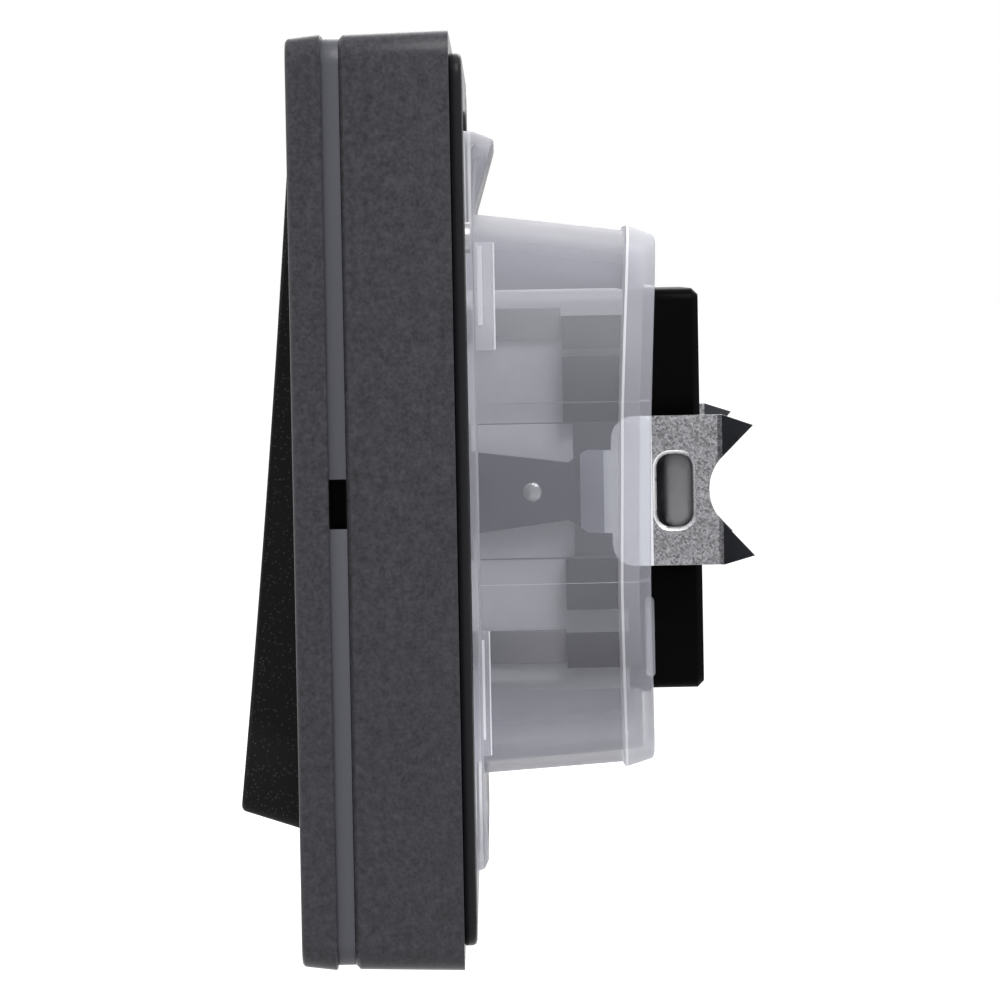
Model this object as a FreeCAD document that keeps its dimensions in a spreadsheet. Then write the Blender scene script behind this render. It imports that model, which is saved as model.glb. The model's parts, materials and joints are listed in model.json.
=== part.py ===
import FreeCAD, Part
import math
import os
from types import SimpleNamespace

import Sketcher
from FreeCAD import Placement, Rotation, Vector

# Surface-mounted face of a weatherproof one-gang rocker switch with its flush insert.
# Millimetres. +Z is up, the rocker faces -Y, and Y = 0 is the wall behind the gasket.

DIMENSIONS = {
    # Square frame stack: the driving size, and how much smaller each layer is
    "frame_size": 87.0,
    "back_front_less": 0.5,
    "front_rear_less": 0.4,
    "front_less": 1.0,
    "seal_less": 1.25,
    "gasket_less": 4.1,
    "frame_corner": 2.4,
    "frame_band": 11.3,
    "inner_step": 1.0,
    "inner_corner": 3.0,
    "opening_corner": 2.0,
    # Frame depths and walls
    "gasket_thick": 1.25,
    "gasket_band": 3.45,
    "back_depth": 10.1,
    "back_bevel": 0.45,
    "seal_thick": 1.65,
    "front_thick": 3.3,
    "front_round": 0.5,
    "opening_bevel": 0.3,
    "skirt_wall": 1.6,
    "outer_wall": 4.7,
    "face_wall": 2.0,
    "floor_step": 0.95,
    "floor_thick": 2.0,
    "web_lap": 0.4,
    "web_wide": 2.2,
    "web_corner": 20.4,
    "rib_at": 20.0,
    "rib_thick": 1.2,
    "rib_short": 1.0,
    "notch_tall": 4.6,
    "notch_deep": 3.0,
    # Clip legs of the front frame
    "clip_at": 3.5,
    "clip_half": 4.5,
    "clip_thick": 1.4,
    "clip_play": 0.4,
    "clip_reach": 1.6,
    "hook_gap": 0.1,
    "hook_reach": 0.9,
    # Frame screws
    "frame_screw_at": 24.4,
    "screw_radius": 1.5,
    "screw_clear": 0.2,
    "screw_head": 2.7,
    "screw_head_tall": 1.6,
    "screw_past_ring": 0.6,
    "cross_arm": 1.5,
    "cross_half": 0.35,
    "cross_deep": 0.9,
    # Membrane
    "membrane_lap": 0.8,
    "tray_wide": 23.5,
    "tray_tall": 20.5,
    "tray_wall": 0.8,
    "tray_mouth_wide": 15.2,
    "tray_mouth_tall": 7.0,
    # Rocker and its pivot
    "pivot_depth": 9.0,
    "rocker_tilt": 5.2,
    "rocker_gap": 1.8,
    "rocker_draft": 12.0,
    "rocker_flank": 7.0,
    "rocker_corner": 1.2,
    "rocker_rim_corner": 1.6,
    "rocker_round": 0.45,
    "rocker_wall": 1.7,
    "face_reach": 10.5,
    "face_hollow": 0.25,
    "catch_half": 6.0,
    "catch_thick": 1.4,
    "catch_tall": 3.6,
    "barb_reach": 0.5,
    "barb_tall": 1.6,
    # Toggle, plunger and spring
    "toggle_half_wide": 12.0,
    "toggle_half_tall": 12.9,
    "toggle_thick": 1.8,
    "cheek_at": 10.9,
    "cheek_thick": 1.8,
    "cheek_half": 3.0,
    "cheek_end": 1.8,
    "pin_at": 13.0,
    "pin_long": 2.4,
    "pin_radius": 1.5,
    "run_gap": 0.05,
    "stem_radius": 3.3,
    "stem_end": 4.5,
    "bore_front": 5.0,
    "plunger_radius": 2.0,
    "plunger_front": 0.5,
    "plunger_reach": 10.5,
    "plunger_nose": 1.1,
    "coil_radius": 1.55,
    "coil_wire": 0.4,
    "coil_gap": 0.02,
    # Contact bridge and terminals
    "contact_pivot": 2.9,
    "contact_tilt": 8.0,
    "contact_arm": 8.5,
    "contact_half_wide": 4.0,
    "contact_half_tall": 10.5,
    "contact_sheet": 1.0,
    "contact_stand": 0.3,
    "groove_radius": 0.75,
    "button_radius": 1.5,
    "button_tall": 0.8,
    "ridge_radius": 0.65,
    "ridge_half_wide": 3.0,
    "terminal_half_wide": 9.5,
    "terminal_sheet": 0.9,
    "terminal_step": 6.1,
    "fixed_contact_drop": 2.75,
    "fixed_half_wide": 4.0,
    "fixed_foot": 3.0,
    "fixed_strip_at": 11.9,
    "fixed_strip_half_wide": 8.5,
    "fixed_sheet": 0.8,
    # Clamp springs and release levers
    "clamp_rear": 19.6,
    "clamp_front": 12.0,
    "clamp_tall": 4.9,
    "clamp_sheet": 0.4,
    "clamp_tip": 18.6,
    "clamp_foot": 0.15,
    "clamp_wide": 16.0,
    "lever_half_wide": 2.2,
    "lever_half_tall": 0.9,
    "lever_flange": 0.6,
    "lever_flange_tall": 0.8,
    "lever_play": 0.15,
    # Support ring
    "ring_size": 70.5,
    "ring_cut": 18.0,
    "ring_front": 1.2,
    "ring_thick": 1.0,
    "ring_mouth_wide": 11.3,
    "ring_mouth_tall": 15.0,
    "box_spacing": 60.0,
    "box_slot_long": 5.0,
    "box_slot_radius": 1.8,
    # Insert housing
    "cover_half_wide": 14.7,
    "cover_half_tall": 18.5,
    "cover_corner": 1.5,
    "cover_front": 5.4,
    "cover_mouth_wide": 9.0,
    "cover_mouth_tall": 5.6,
    "post_at": 13.25,
    "post_thick": 2.3,
    "post_half": 3.2,
    "post_front": 11.4,
    "post_round": 1.4,
    "base_half_wide": 19.0,
    "base_half_tall": 19.25,
    "base_corner": 1.3,
    "base_bevel": 0.6,
    "base_rear": 22.15,
    "base_split": 15.0,
    "base_wall": 1.5,
    "channel_at": 12.5,
    "channel_half": 6.5,
    "wire_at": 6.0,
    "wire_radius": 1.6,
    "latch_out": 1.8,
    "latch_front": 9.0,
    "latch_lap": 1.0,
    "latch_sink": 0.15,
    # Spreading claws
    "claw_arm_at": 20.0,
    "claw_head_at": 22.6,
    "claw_sheet": 1.2,
    "claw_front": 2.6,
    "claw_hook": 1.2,
    "claw_neck": 2.2,
    "claw_arm_half": 3.95,
    "claw_waist_half": 2.75,
    "claw_joggle": 10.6,
    "claw_shoulder": 13.45,
    "claw_half": 7.15,
    "claw_round": 2.2,
    "claw_bend": 24.1,
    "claw_tooth_long": 2.8,
    "claw_tooth_round": 4.5,
    "claw_slot_back": 2.9,
    "claw_slot_wide": 3.45,
    "claw_slot_half": 3.5,
    "claw_slot_corner": 1.35,
    "claw_slot_bevel": 0.35,
    "claw_pivot": 20.6,
    "claw_screw_at": 17.3,
    "claw_screw_head": 2.4,
    "claw_screw_head_tall": 2.2,
    "claw_screw_end": 24.0,
    "claw_screw_slot": 0.4,
    "wedge_inner": 14.6,
    "wedge_gap": 0.3,
    "wedge_half": 5.0,
    "wedge_front": 17.2,
    "wedge_rear": 21.8,
    "wedge_round": 2.5,
    # Sealing collar
    "collar_clear": 0.4,
    "collar_bead_more": 0.7,
    "collar_front_more": 2.1,
    "collar_bead_at": 14.1,
    "collar_bead_long": 0.8,
    "collar_bead_out": 0.3,
    "collar_rear": 17.4,
    "collar_wall": 1.1,
    "collar_corner": 17.5,
    "collar_gap": 0.3,
    "flange_half": 35.6,
    "flange_corner": 8.0,
    "flange_thick": 0.8,
    "lip_wide": 1.0,
    "lip_lean": 0.9,
    "lip_tall": 1.6,
    "tab_at": 20.5,
    "tab_low": 13.2,
    "tab_half": 3.0,
    "tab_out": 0.65,
}

# Heights of the release levers, wire holes and latch tongues, and the number of turns of the coil
LEVERS = {"release_lever_upper": 16.3, "release_lever_common": -4.0, "release_lever_lower": -16.3}
WIRE_HOLES = (13.8, -2.0, -13.8)
LATCHES = ((6.6, 12.9), (13.6, 16.8), (-11.4, -6.6), (-17.0, -13.7))
COIL_TURNS = 3


class Size:
    """A length that carries the sheet formula it comes from."""

    def __init__(self, value, formula):
        self.value = float(value)
        self.formula = formula

    @staticmethod
    def of(other):
        if isinstance(other, Size):
            return other
        return Size(other, repr(float(other)))

    def join(self, other, sign, value):
        return Size(value, "(" + self.formula + " " + sign + " " + other.formula + ")")

    def __add__(self, other):
        other = Size.of(other)
        return self.join(other, "+", self.value + other.value)

    def __sub__(self, other):
        other = Size.of(other)
        return self.join(other, "-", self.value - other.value)

    def __mul__(self, other):
        other = Size.of(other)
        return self.join(other, "*", self.value * other.value)

    def __truediv__(self, other):
        other = Size.of(other)
        return self.join(other, "/", self.value / other.value)

    def __neg__(self):
        return Size(-self.value, "(0 - " + self.formula + ")")

    def __radd__(self, other):
        return Size.of(other) + self

    def __rsub__(self, other):
        return Size.of(other) - self

    def __rmul__(self, other):
        return Size.of(other) * self


doc = FreeCAD.newDocument("weatherproof_switch")


def make_sheet():
    sheet = doc.addObject("Spreadsheet::Sheet", "Dims")
    for row, (name, value) in enumerate(DIMENSIONS.items(), start=1):
        sheet.set("A%d" % row, name)
        sheet.set("B%d" % row, str(value))
        sheet.setAlias("B%d" % row, name)
    doc.recompute()
    return SimpleNamespace(**{n: Size(v, "Dims." + n) for n, v in DIMENSIONS.items()})


d = make_sheet()

# Planes across the depth of the switch
GASKET_FRONT = -d.gasket_thick
BACK_FRONT = GASKET_FRONT - d.back_depth
SEAL_FRONT = BACK_FRONT - d.seal_thick
FACE = SEAL_FRONT - d.front_thick
PLATE_REAR = BACK_FRONT + d.face_wall
FLOOR_REAR = GASKET_FRONT - d.floor_step
FLOOR_FRONT = FLOOR_REAR - d.floor_thick
RING_FRONT = -d.ring_front
RING_REAR = RING_FRONT + d.ring_thick
COVER_FRONT = -d.cover_front
BASE_FLOOR = d.base_rear - d.base_wall
FLANGE_REAR = RING_REAR + d.flange_thick

# Half sizes shared by the layers of the frame
OPENING = d.frame_size / 2 - d.frame_band
INNER = OPENING + d.inner_step
CLIP_LINE = INNER + d.clip_at


# Modelling helpers

PARTS = {}


def body(name):
    made = doc.addObject("PartDesign::Body", name)
    made.Label = name
    PARTS[name] = made
    return made


def bind(thing, path, size):
    if "Dims" in size.formula:
        thing.setExpression(path, size.formula)


def sketch_on(owner, role, offset):
    """A sketch on one of the body's own planes, offset along that plane's normal.

    XZ_Plane: u = X, v = Z, normal -Y. YZ_Plane: u = Y, v = Z, normal +X. XY_Plane: u = X, v = Y.
    """
    plane = [f for f in owner.Origin.OriginFeatures if f.Role == role][0]
    sketch = owner.newObject("Sketcher::SketchObject", owner.Name + "_sketch")
    sketch.AttachmentSupport = [(plane, "")]
    sketch.MapMode = "FlatFace"
    along = -Size.of(offset) if role == "XZ_Plane" else Size.of(offset)
    sketch.AttachmentOffset = Placement(Vector(0, 0, along.value), Rotation())
    bind(sketch, "AttachmentOffset.Base.z", along)
    return sketch


def pin_point(sketch, geo, end, u, v):
    """Holds one point of a sketch at (u, v) from the origin."""
    for kind, axis, size in (("DistanceX", -2, Size.of(u)), ("DistanceY", -1, Size.of(v))):
        if abs(size.value) < 1e-9:
            sketch.addConstraint(Sketcher.Constraint("PointOnObject", geo, end, axis))
            continue
        if size.value > 0:
            held = Sketcher.Constraint(kind, -1, 1, geo, end, size.value)
            index = sketch.addConstraint(held)
            bind(sketch, "Constraints[%d]" % index, size)
        else:
            held = Sketcher.Constraint(kind, geo, end, -1, 1, -size.value)
            index = sketch.addConstraint(held)
            bind(sketch, "Constraints[%d]" % index, -size)


def draw_outline(sketch, points):
    """A closed polygon through (u, v) points."""
    first = sketch.GeometryCount
    spots = [Vector(Size.of(u).value, Size.of(v).value, 0) for u, v in points]
    count = len(spots)
    for i, spot in enumerate(spots):
        sketch.addGeometry(Part.LineSegment(spot, spots[(i + 1) % count]))
    for i in range(count):
        follower = first + (i + 1) % count
        sketch.addConstraint(Sketcher.Constraint("Coincident", first + i, 2, follower, 1))
    for i, (u, v) in enumerate(points):
        pin_point(sketch, first + i, 1, u, v)


def draw_box(sketch, half_u, half_v, u=0.0, v=0.0):
    half_u, half_v, u, v = (Size.of(x) for x in (half_u, half_v, u, v))
    corners = ((-1, -1), (1, -1), (1, 1), (-1, 1))
    draw_outline(sketch, [(u + half_u * a, v + half_v * b) for a, b in corners])


def draw_circle(sketch, radius, u=0.0, v=0.0):
    radius = Size.of(radius)
    centre = Vector(Size.of(u).value, Size.of(v).value, 0)
    geo = sketch.addGeometry(Part.Circle(centre, Vector(0, 0, 1), radius.value))
    pin_point(sketch, geo, 3, u, v)
    index = sketch.addConstraint(Sketcher.Constraint("Radius", geo, radius.value))
    bind(sketch, "Constraints[%d]" % index, radius)


def draw_slot(sketch, length, radius, u, v, along_u):
    """A slot with round ends, centred on (u, v)."""
    length, radius, u, v = (Size.of(x) for x in (length, radius, u, v))
    reach = length / 2 - radius
    du, dv = (reach, Size.of(0)) if along_u else (Size.of(0), reach)
    side = Vector(0, radius.value, 0) if along_u else Vector(radius.value, 0, 0)
    ends = [(u - du, v - dv), (u + du, v + dv)]
    spots = [Vector(a.value, b.value, 0) for a, b in ends]
    turn = math.pi / 2 if along_u else math.pi
    first = sketch.GeometryCount
    flat = Vector(0, 0, 1)
    for i, spot in enumerate(spots):
        start = turn + i * math.pi
        circle = Part.Circle(spot, flat, radius.value)
        sketch.addGeometry(Part.ArcOfCircle(circle, start, start + math.pi))
    low, high = (spots[0] - side, spots[1] - side), (spots[1] + side, spots[0] + side)
    if not along_u:
        low, high = (spots[0] + side, spots[1] + side), (spots[1] - side, spots[0] - side)
    sketch.addGeometry(Part.LineSegment(*low))
    sketch.addGeometry(Part.LineSegment(*high))
    near, far, one, two = first, first + 1, first + 2, first + 3
    for a, a_end, b, b_end in ((near, 2, one, 1), (one, 2, far, 1), (far, 2, two, 1), (two, 2, near, 1)):
        sketch.addConstraint(Sketcher.Constraint("Tangent", a, a_end, b, b_end))
    for geo, (a, b) in zip((near, far), ends):
        pin_point(sketch, geo, 3, a, b)
    index = sketch.addConstraint(Sketcher.Constraint("Radius", near, radius.value))
    bind(sketch, "Constraints[%d]" % index, radius)


def draw_round_box(sketch, half_u, half_v, corner):
    """A rectangle about the origin with equal round corners."""
    half_u, half_v, corner = (Size.of(x) for x in (half_u, half_v, corner))
    hu, hv, r = half_u.value, half_v.value, corner.value
    first = sketch.GeometryCount
    flat = Vector(0, 0, 1)
    quarters = ((1, 1), (-1, 1), (-1, -1), (1, -1))
    for i, (a, b) in enumerate(quarters):
        circle = Part.Circle(Vector(a * (hu - r), b * (hv - r), 0), flat, r)
        sketch.addGeometry(Part.ArcOfCircle(circle, i * math.pi / 2, (i + 1) * math.pi / 2))
    spans = (
        ((hu - r, hv), (r - hu, hv)),
        ((-hu, hv - r), (-hu, r - hv)),
        ((r - hu, -hv), (hu - r, -hv)),
        ((hu, r - hv), (hu, hv - r)),
    )
    for start, end in spans:
        sketch.addGeometry(Part.LineSegment(Vector(*start, 0), Vector(*end, 0)))
    for i in range(4):
        line, after = first + 4 + i, first + (i + 1) % 4
        sketch.addConstraint(Sketcher.Constraint("Tangent", first + i, 2, line, 1))
        sketch.addConstraint(Sketcher.Constraint("Tangent", line, 2, after, 1))
    for i, (a, b) in enumerate(quarters):
        pin_point(sketch, first + i, 3, (half_u - corner) * a, (half_v - corner) * b)
    index = sketch.addConstraint(Sketcher.Constraint("Radius", first, r))
    bind(sketch, "Constraints[%d]" % index, corner)


def extrude(owner, kind, sketch, length, both_ways):
    feature = owner.newObject("PartDesign::" + kind, owner.Name + "_" + kind.lower())
    feature.Profile = sketch
    length = Size.of(length)
    feature.Length = length.value
    bind(feature, "Length", length)
    if both_ways:
        feature.SideType = "Symmetric"
    doc.recompute()
    return feature


def pad(owner, sketch, length, both_ways=False):
    return extrude(owner, "Pad", sketch, length, both_ways)


def pocket(owner, sketch, length, both_ways=False):
    before = owner.Shape.Volume
    feature = extrude(owner, "Pocket", sketch, length, both_ways)
    if owner.Shape.Volume >= before - 1e-6:
        raise RuntimeError(owner.Name + ": a pocket removes nothing")
    return feature


def slab(owner, draw, front, rear):
    """Adds material between two planes across the depth; draw fills its sketch."""
    sketch = sketch_on(owner, "XZ_Plane", rear)
    draw(sketch)
    return pad(owner, sketch, Size.of(rear) - Size.of(front))


def well(owner, draw, front, rear):
    """Removes material between two planes across the depth."""
    sketch = sketch_on(owner, "XZ_Plane", front)
    draw(sketch)
    return pocket(owner, sketch, Size.of(rear) - Size.of(front))


def loft(owner, draws, cut=False):
    """A ruled loft through sketches, given as (depth, draw) pairs."""
    sketches = []
    for depth, draw in draws:
        sketch = sketch_on(owner, "XZ_Plane", depth)
        draw(sketch)
        sketches.append(sketch)
    kind = "SubtractiveLoft" if cut else "AdditiveLoft"
    feature = owner.newObject("PartDesign::" + kind, owner.Name + "_loft")
    feature.Profile = sketches[0]
    feature.Sections = sketches[1:]
    feature.Ruled = True
    doc.recompute()
    return feature


def soften(owner, kind, size, keep):
    """Fillets or chamfers the edges that keep() picks by their middle point and length."""
    base = owner.Tip
    names = []
    for i, edge in enumerate(base.Shape.Edges, start=1):
        low, high = edge.ParameterRange
        if keep(edge.valueAt((low + high) / 2), edge):
            names.append("Edge%d" % i)
    if not names:
        raise RuntimeError(owner.Name + ": no edge to soften")
    feature = owner.newObject("PartDesign::" + kind, owner.Name + "_" + kind.lower())
    feature.Base = (base, names)
    path = "Radius" if kind == "Fillet" else "Size"
    setattr(feature, path, Size.of(size).value)
    bind(feature, path, Size.of(size))
    doc.recompute()
    return feature


def around(owner, count, *originals):
    """Repeats features about the switch's depth axis."""
    pattern = owner.newObject("PartDesign::PolarPattern", owner.Name + "_pattern")
    pattern.Originals = list(originals)
    axis = [f for f in owner.Origin.OriginFeatures if f.Role == "Y_Axis"][0]
    pattern.Axis = (axis, [""])
    pattern.Angle = 360
    pattern.Occurrences = count
    owner.Tip = pattern
    doc.recompute()
    return pattern


def tilt(owner, depth, degrees, sign):
    """Turns a body about an X axis at the given depth."""
    depth, degrees = Size.of(depth), Size.of(degrees)
    owner.Placement = Placement(
        Vector(0, depth.value, 0), Rotation(Vector(1, 0, 0), sign * degrees.value)
    )
    bind(owner, "Placement.Base.y", depth)
    bind(owner, "Placement.Rotation.Angle", degrees * sign)


def rounded(half_u, half_v, corner):
    return lambda sketch: draw_round_box(sketch, half_u, half_v, corner)


def boxed(half_u, half_v, u=0.0, v=0.0):
    return lambda sketch: draw_box(sketch, half_u, half_v, u, v)


def circled(radius, u=0.0, v=0.0):
    return lambda sketch: draw_circle(sketch, radius, u, v)


def eight_sided(half, cut):
    """A square whose corners are cut off at the given distance from the axes."""
    corners = [
        (half, cut), (cut, half), (-cut, half), (-half, cut),
        (-half, -cut), (-cut, -half), (cut, -half), (half, -cut),
    ]
    return lambda sketch: draw_outline(sketch, corners)


def both(*draws):
    def draw(sketch):
        for one in draws:
            one(sketch)

    return draw


def slotted(length, radius, u, v):
    return lambda sketch: draw_slot(sketch, length, radius, u, v, True)


def round_steps(size):
    """Depth back from a face and inset from its outline, for an edge rounded in two steps."""
    return [(size * back, size * inset) for back, inset in ((1.0, 0.0), (0.3, 0.3), (0.0, 1.0))]


# Square frame stack


def make_wall_gasket():
    gasket = body("wall_gasket")
    half = (d.frame_size - d.gasket_less) / 2
    inner = half - d.gasket_band
    slab(gasket, rounded(half, half, d.opening_corner), GASKET_FRONT, 0)
    well(gasket, rounded(inner, inner, d.inner_corner), GASKET_FRONT, 0)


def clip_slot():
    """Slot that a clip leg passes through, beside the upper edge of the opening."""
    return boxed(d.clip_half + d.clip_play, d.clip_thick / 2 + d.clip_play, 0, CLIP_LINE)


def make_back_frame():
    """Deep moulded frame: outer wall, front plate, inner skirt, ribs and corner webs for screws."""
    frame = body("back_frame")
    rear = d.frame_size / 2
    front = (d.frame_size - d.back_front_less) / 2
    edge = front - d.back_bevel
    loft(
        frame,
        [
            (GASKET_FRONT, rounded(rear, rear, d.frame_corner)),
            (BACK_FRONT + d.back_bevel, rounded(front, front, d.frame_corner)),
            (BACK_FRONT, rounded(edge, edge, d.frame_corner - d.back_bevel)),
        ],
    )
    well(frame, rounded(INNER, INNER, d.inner_corner), BACK_FRONT, GASKET_FRONT)
    skirt = INNER + d.skirt_wall
    hollow = rear - d.outer_wall
    skirt_outline = rounded(skirt, skirt, d.inner_corner)
    well(frame, both(skirt_outline, rounded(hollow, hollow, d.inner_corner)), PLATE_REAR, GASKET_FRONT)
    well(frame, skirt_outline, FLOOR_REAR, GASKET_FRONT)
    web = INNER + d.web_lap
    opening = eight_sided(INNER - d.web_wide, INNER - d.web_corner)
    slab(frame, both(rounded(web, web, d.inner_corner), opening), FLOOR_FRONT, FLOOR_REAR)
    hole = circled(d.screw_radius + d.screw_clear, d.frame_screw_at, d.frame_screw_at)
    around(frame, 2, well(frame, hole, FLOOR_FRONT, FLOOR_REAR))
    around(frame, 4, well(frame, clip_slot(), BACK_FRONT, PLATE_REAR))
    rib_half = (hollow - skirt) / 2 + d.web_lap
    for side in (-1, 1):
        rib = boxed(d.rib_thick / 2, rib_half, d.rib_at * side, (hollow + skirt) / 2)
        around(frame, 4, slab(frame, rib, PLATE_REAR, FLOOR_REAR - d.rib_short))


def make_frame_seal():
    """Grey seal between the frames, open at each side for prying the front frame off."""
    seal = body("frame_seal")
    half = (d.frame_size - d.seal_less) / 2
    slab(seal, rounded(half, half, d.frame_corner), SEAL_FRONT, BACK_FRONT)
    well(seal, rounded(INNER, INNER, d.inner_corner), SEAL_FRONT, BACK_FRONT)
    around(seal, 4, well(seal, clip_slot(), SEAL_FRONT, BACK_FRONT))
    notch = boxed(d.notch_deep, d.notch_tall / 2, half, 0)
    around(seal, 2, well(seal, notch, SEAL_FRONT, BACK_FRONT))


def make_front_frame():
    """Removable front frame with four clip legs."""
    frame = body("front_frame")
    front = (d.frame_size - d.front_less) / 2
    rear = (d.frame_size - d.front_rear_less) / 2
    steps = [(SEAL_FRONT, rear, d.frame_corner)]
    for back, inset in round_steps(d.front_round):
        steps.append((FACE + back, front - inset, d.frame_corner - inset))
    loft(frame, [(depth, rounded(half, half, corner)) for depth, half, corner in steps])
    wide, bevel = OPENING + d.opening_bevel, d.opening_bevel
    loft(
        frame,
        [
            (FACE, rounded(wide, wide, d.opening_corner + bevel)),
            (FACE + bevel, rounded(OPENING, OPENING, d.opening_corner)),
            (SEAL_FRONT, rounded(OPENING, OPENING, d.opening_corner)),
        ],
        cut=True,
    )
    leg_end = PLATE_REAR + d.clip_reach
    leg = slab(frame, boxed(d.clip_half, d.clip_thick / 2, 0, CLIP_LINE), SEAL_FRONT, leg_end)
    around(frame, 4, leg)
    hook_at = CLIP_LINE + d.hook_reach / 2
    hook_half = (d.clip_thick + d.hook_reach) / 2
    hook = slab(frame, boxed(d.clip_half, hook_half, 0, hook_at), PLATE_REAR + d.hook_gap, leg_end)
    around(frame, 4, hook)


def crossed(at):
    """A cross recess as one outline."""
    arm, half = d.cross_arm, d.cross_half
    corner = [(arm, half), (half, half), (half, arm)]
    cross = []
    for a, b in ((1, 1), (-1, 1), (-1, -1), (1, -1)):
        turned = [(u * a, v * b) for u, v in corner]
        cross += turned if a * b > 0 else turned[::-1]
    return lambda sketch: draw_outline(sketch, [(at + u, at + v) for u, v in cross])


def make_frame_screws():
    """Two screws in opposite corners that hold the back frame to the support ring, under the rocker."""
    screws = body("frame_screws")
    at = d.frame_screw_at
    head_front = FLOOR_FRONT - d.screw_head_tall
    shank = slab(screws, circled(d.screw_radius, at, at), FLOOR_FRONT, RING_REAR + d.screw_past_ring)
    head = slab(screws, circled(d.screw_head, at, at), head_front, FLOOR_FRONT)
    drive = well(screws, crossed(at), head_front, head_front + d.cross_deep)
    around(screws, 2, shank, head, drive)


def make_membrane():
    """Elastomer tray that seals the insert under the rocker."""
    sheet = body("rocker_membrane")
    half = INNER + d.membrane_lap
    wall = d.tray_wall
    slab(sheet, rounded(half, half, d.inner_corner), FLOOR_REAR, RING_FRONT)
    slab(sheet, rounded(d.tray_wide, d.tray_tall, d.inner_corner), COVER_FRONT - wall, FLOOR_REAR)
    hollow = rounded(d.tray_wide - wall, d.tray_tall - wall, d.inner_corner - wall)
    well(sheet, hollow, COVER_FRONT, RING_FRONT)
    mouth = rounded(d.tray_mouth_wide, d.tray_mouth_tall, d.opening_corner)
    well(sheet, mouth, COVER_FRONT - wall, COVER_FRONT)
    hole = circled(d.screw_radius + d.screw_clear, d.frame_screw_at, d.frame_screw_at)
    around(sheet, 2, well(sheet, hole, FLOOR_REAR, RING_FRONT))


# Rocker and switching parts, modelled about their own pivots

CAP_INSIDE = d.face_hollow - d.face_reach + d.rocker_wall


def make_rocker():
    """Cap with flared flanks, a slightly dished face and two catches for the toggle."""
    cap = body("rocker")
    front = OPENING - d.rocker_gap
    flare = math.tan(math.radians(d.rocker_draft.value))
    rear = front + d.rocker_flank * flare
    rim = d.rocker_flank - d.face_reach
    steps = [(rim, rear, d.rocker_rim_corner)]
    for back, inset in round_steps(d.rocker_round):
        half = front + back * flare - inset
        steps.append((back - d.face_reach, half, d.rocker_corner - inset))
    loft(cap, [(depth, rounded(half, half, corner)) for depth, half, corner in steps])
    dish = (front * front) / (2 * d.face_hollow)
    sketch = sketch_on(cap, "YZ_Plane", 0)
    draw_circle(sketch, dish, d.face_hollow - d.face_reach - dish, 0)
    pocket(cap, sketch, rear * 2.2, both_ways=True)
    wall = d.rocker_wall
    loft(
        cap,
        [
            (rim, rounded(rear - wall, rear - wall, d.rocker_corner)),
            (CAP_INSIDE, rounded(front - wall, front - wall, d.rocker_corner)),
        ],
        cut=True,
    )
    catch_at = d.toggle_half_tall + d.catch_thick / 2 + 2 * d.run_gap
    barb_front = CAP_INSIDE + d.toggle_thick + 2 * d.run_gap
    for side in (-1, 1):
        catch = boxed(d.catch_half, d.catch_thick / 2, 0, catch_at * side)
        slab(cap, catch, CAP_INSIDE, CAP_INSIDE + d.catch_tall)
        barb_at = catch_at - d.catch_thick / 2 - d.barb_reach / 2
        barb = boxed(d.catch_half, d.barb_reach, 0, barb_at * side)
        slab(cap, barb, barb_front, barb_front + d.barb_tall)
    tilt(cap, -d.pivot_depth, d.rocker_tilt, -1)


def make_toggle():
    """Cradle under the rocker: plate, two cheeks with pivot pins, and a bored stem."""
    toggle = body("toggle")
    plate_rear = CAP_INSIDE + d.toggle_thick
    plate = rounded(d.toggle_half_wide, d.toggle_half_tall, d.rocker_corner)
    slab(toggle, plate, CAP_INSIDE, plate_rear)
    for side in (-1, 1):
        cheek = boxed(d.cheek_thick / 2, d.cheek_half, d.cheek_at * side, 0)
        slab(toggle, cheek, plate_rear, d.cheek_end)
    for side in (-1, 1):
        sketch = sketch_on(toggle, "YZ_Plane", d.pin_at * side)
        draw_circle(sketch, d.pin_radius)
        pad(toggle, sketch, d.pin_long, both_ways=True)
    slab(toggle, circled(d.stem_radius), plate_rear, d.stem_end)
    well(toggle, circled(d.plunger_radius + d.run_gap), -d.bore_front, d.stem_end)
    tilt(toggle, -d.pivot_depth, d.rocker_tilt, -1)


def make_toggle_plunger():
    plunger = body("toggle_plunger")
    slab(plunger, circled(d.plunger_radius), -d.plunger_front, d.plunger_reach)
    soften(plunger, "Chamfer", d.plunger_nose, lambda p, e: abs(p.y - d.plunger_reach.value) < 0.01)
    tilt(plunger, -d.pivot_depth, d.rocker_tilt, -1)


def make_toggle_spring():
    """Compression coil between the stem's bottom and the plunger, in square wire."""
    spring = body("toggle_spring")
    half = d.coil_wire / 2
    first = d.coil_gap + half - d.bore_front
    last = -d.plunger_front - d.coil_gap - half
    sketch = sketch_on(spring, "YZ_Plane", 0)
    draw_box(sketch, half, half, first, d.coil_radius)
    doc.recompute()
    coil = spring.newObject("PartDesign::AdditiveHelix", "toggle_spring_coil")
    coil.Profile = sketch
    axis = [f for f in spring.Origin.OriginFeatures if f.Role == "Y_Axis"][0]
    coil.ReferenceAxis = (axis, [""])
    coil.Mode = "height-turns-angle"
    coil.Height = (last - first).value
    bind(coil, "Height", last - first)
    coil.Turns = COIL_TURNS
    coil.Angle = 0
    doc.recompute()
    tilt(spring, -d.pivot_depth, d.rocker_tilt, -1)


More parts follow.
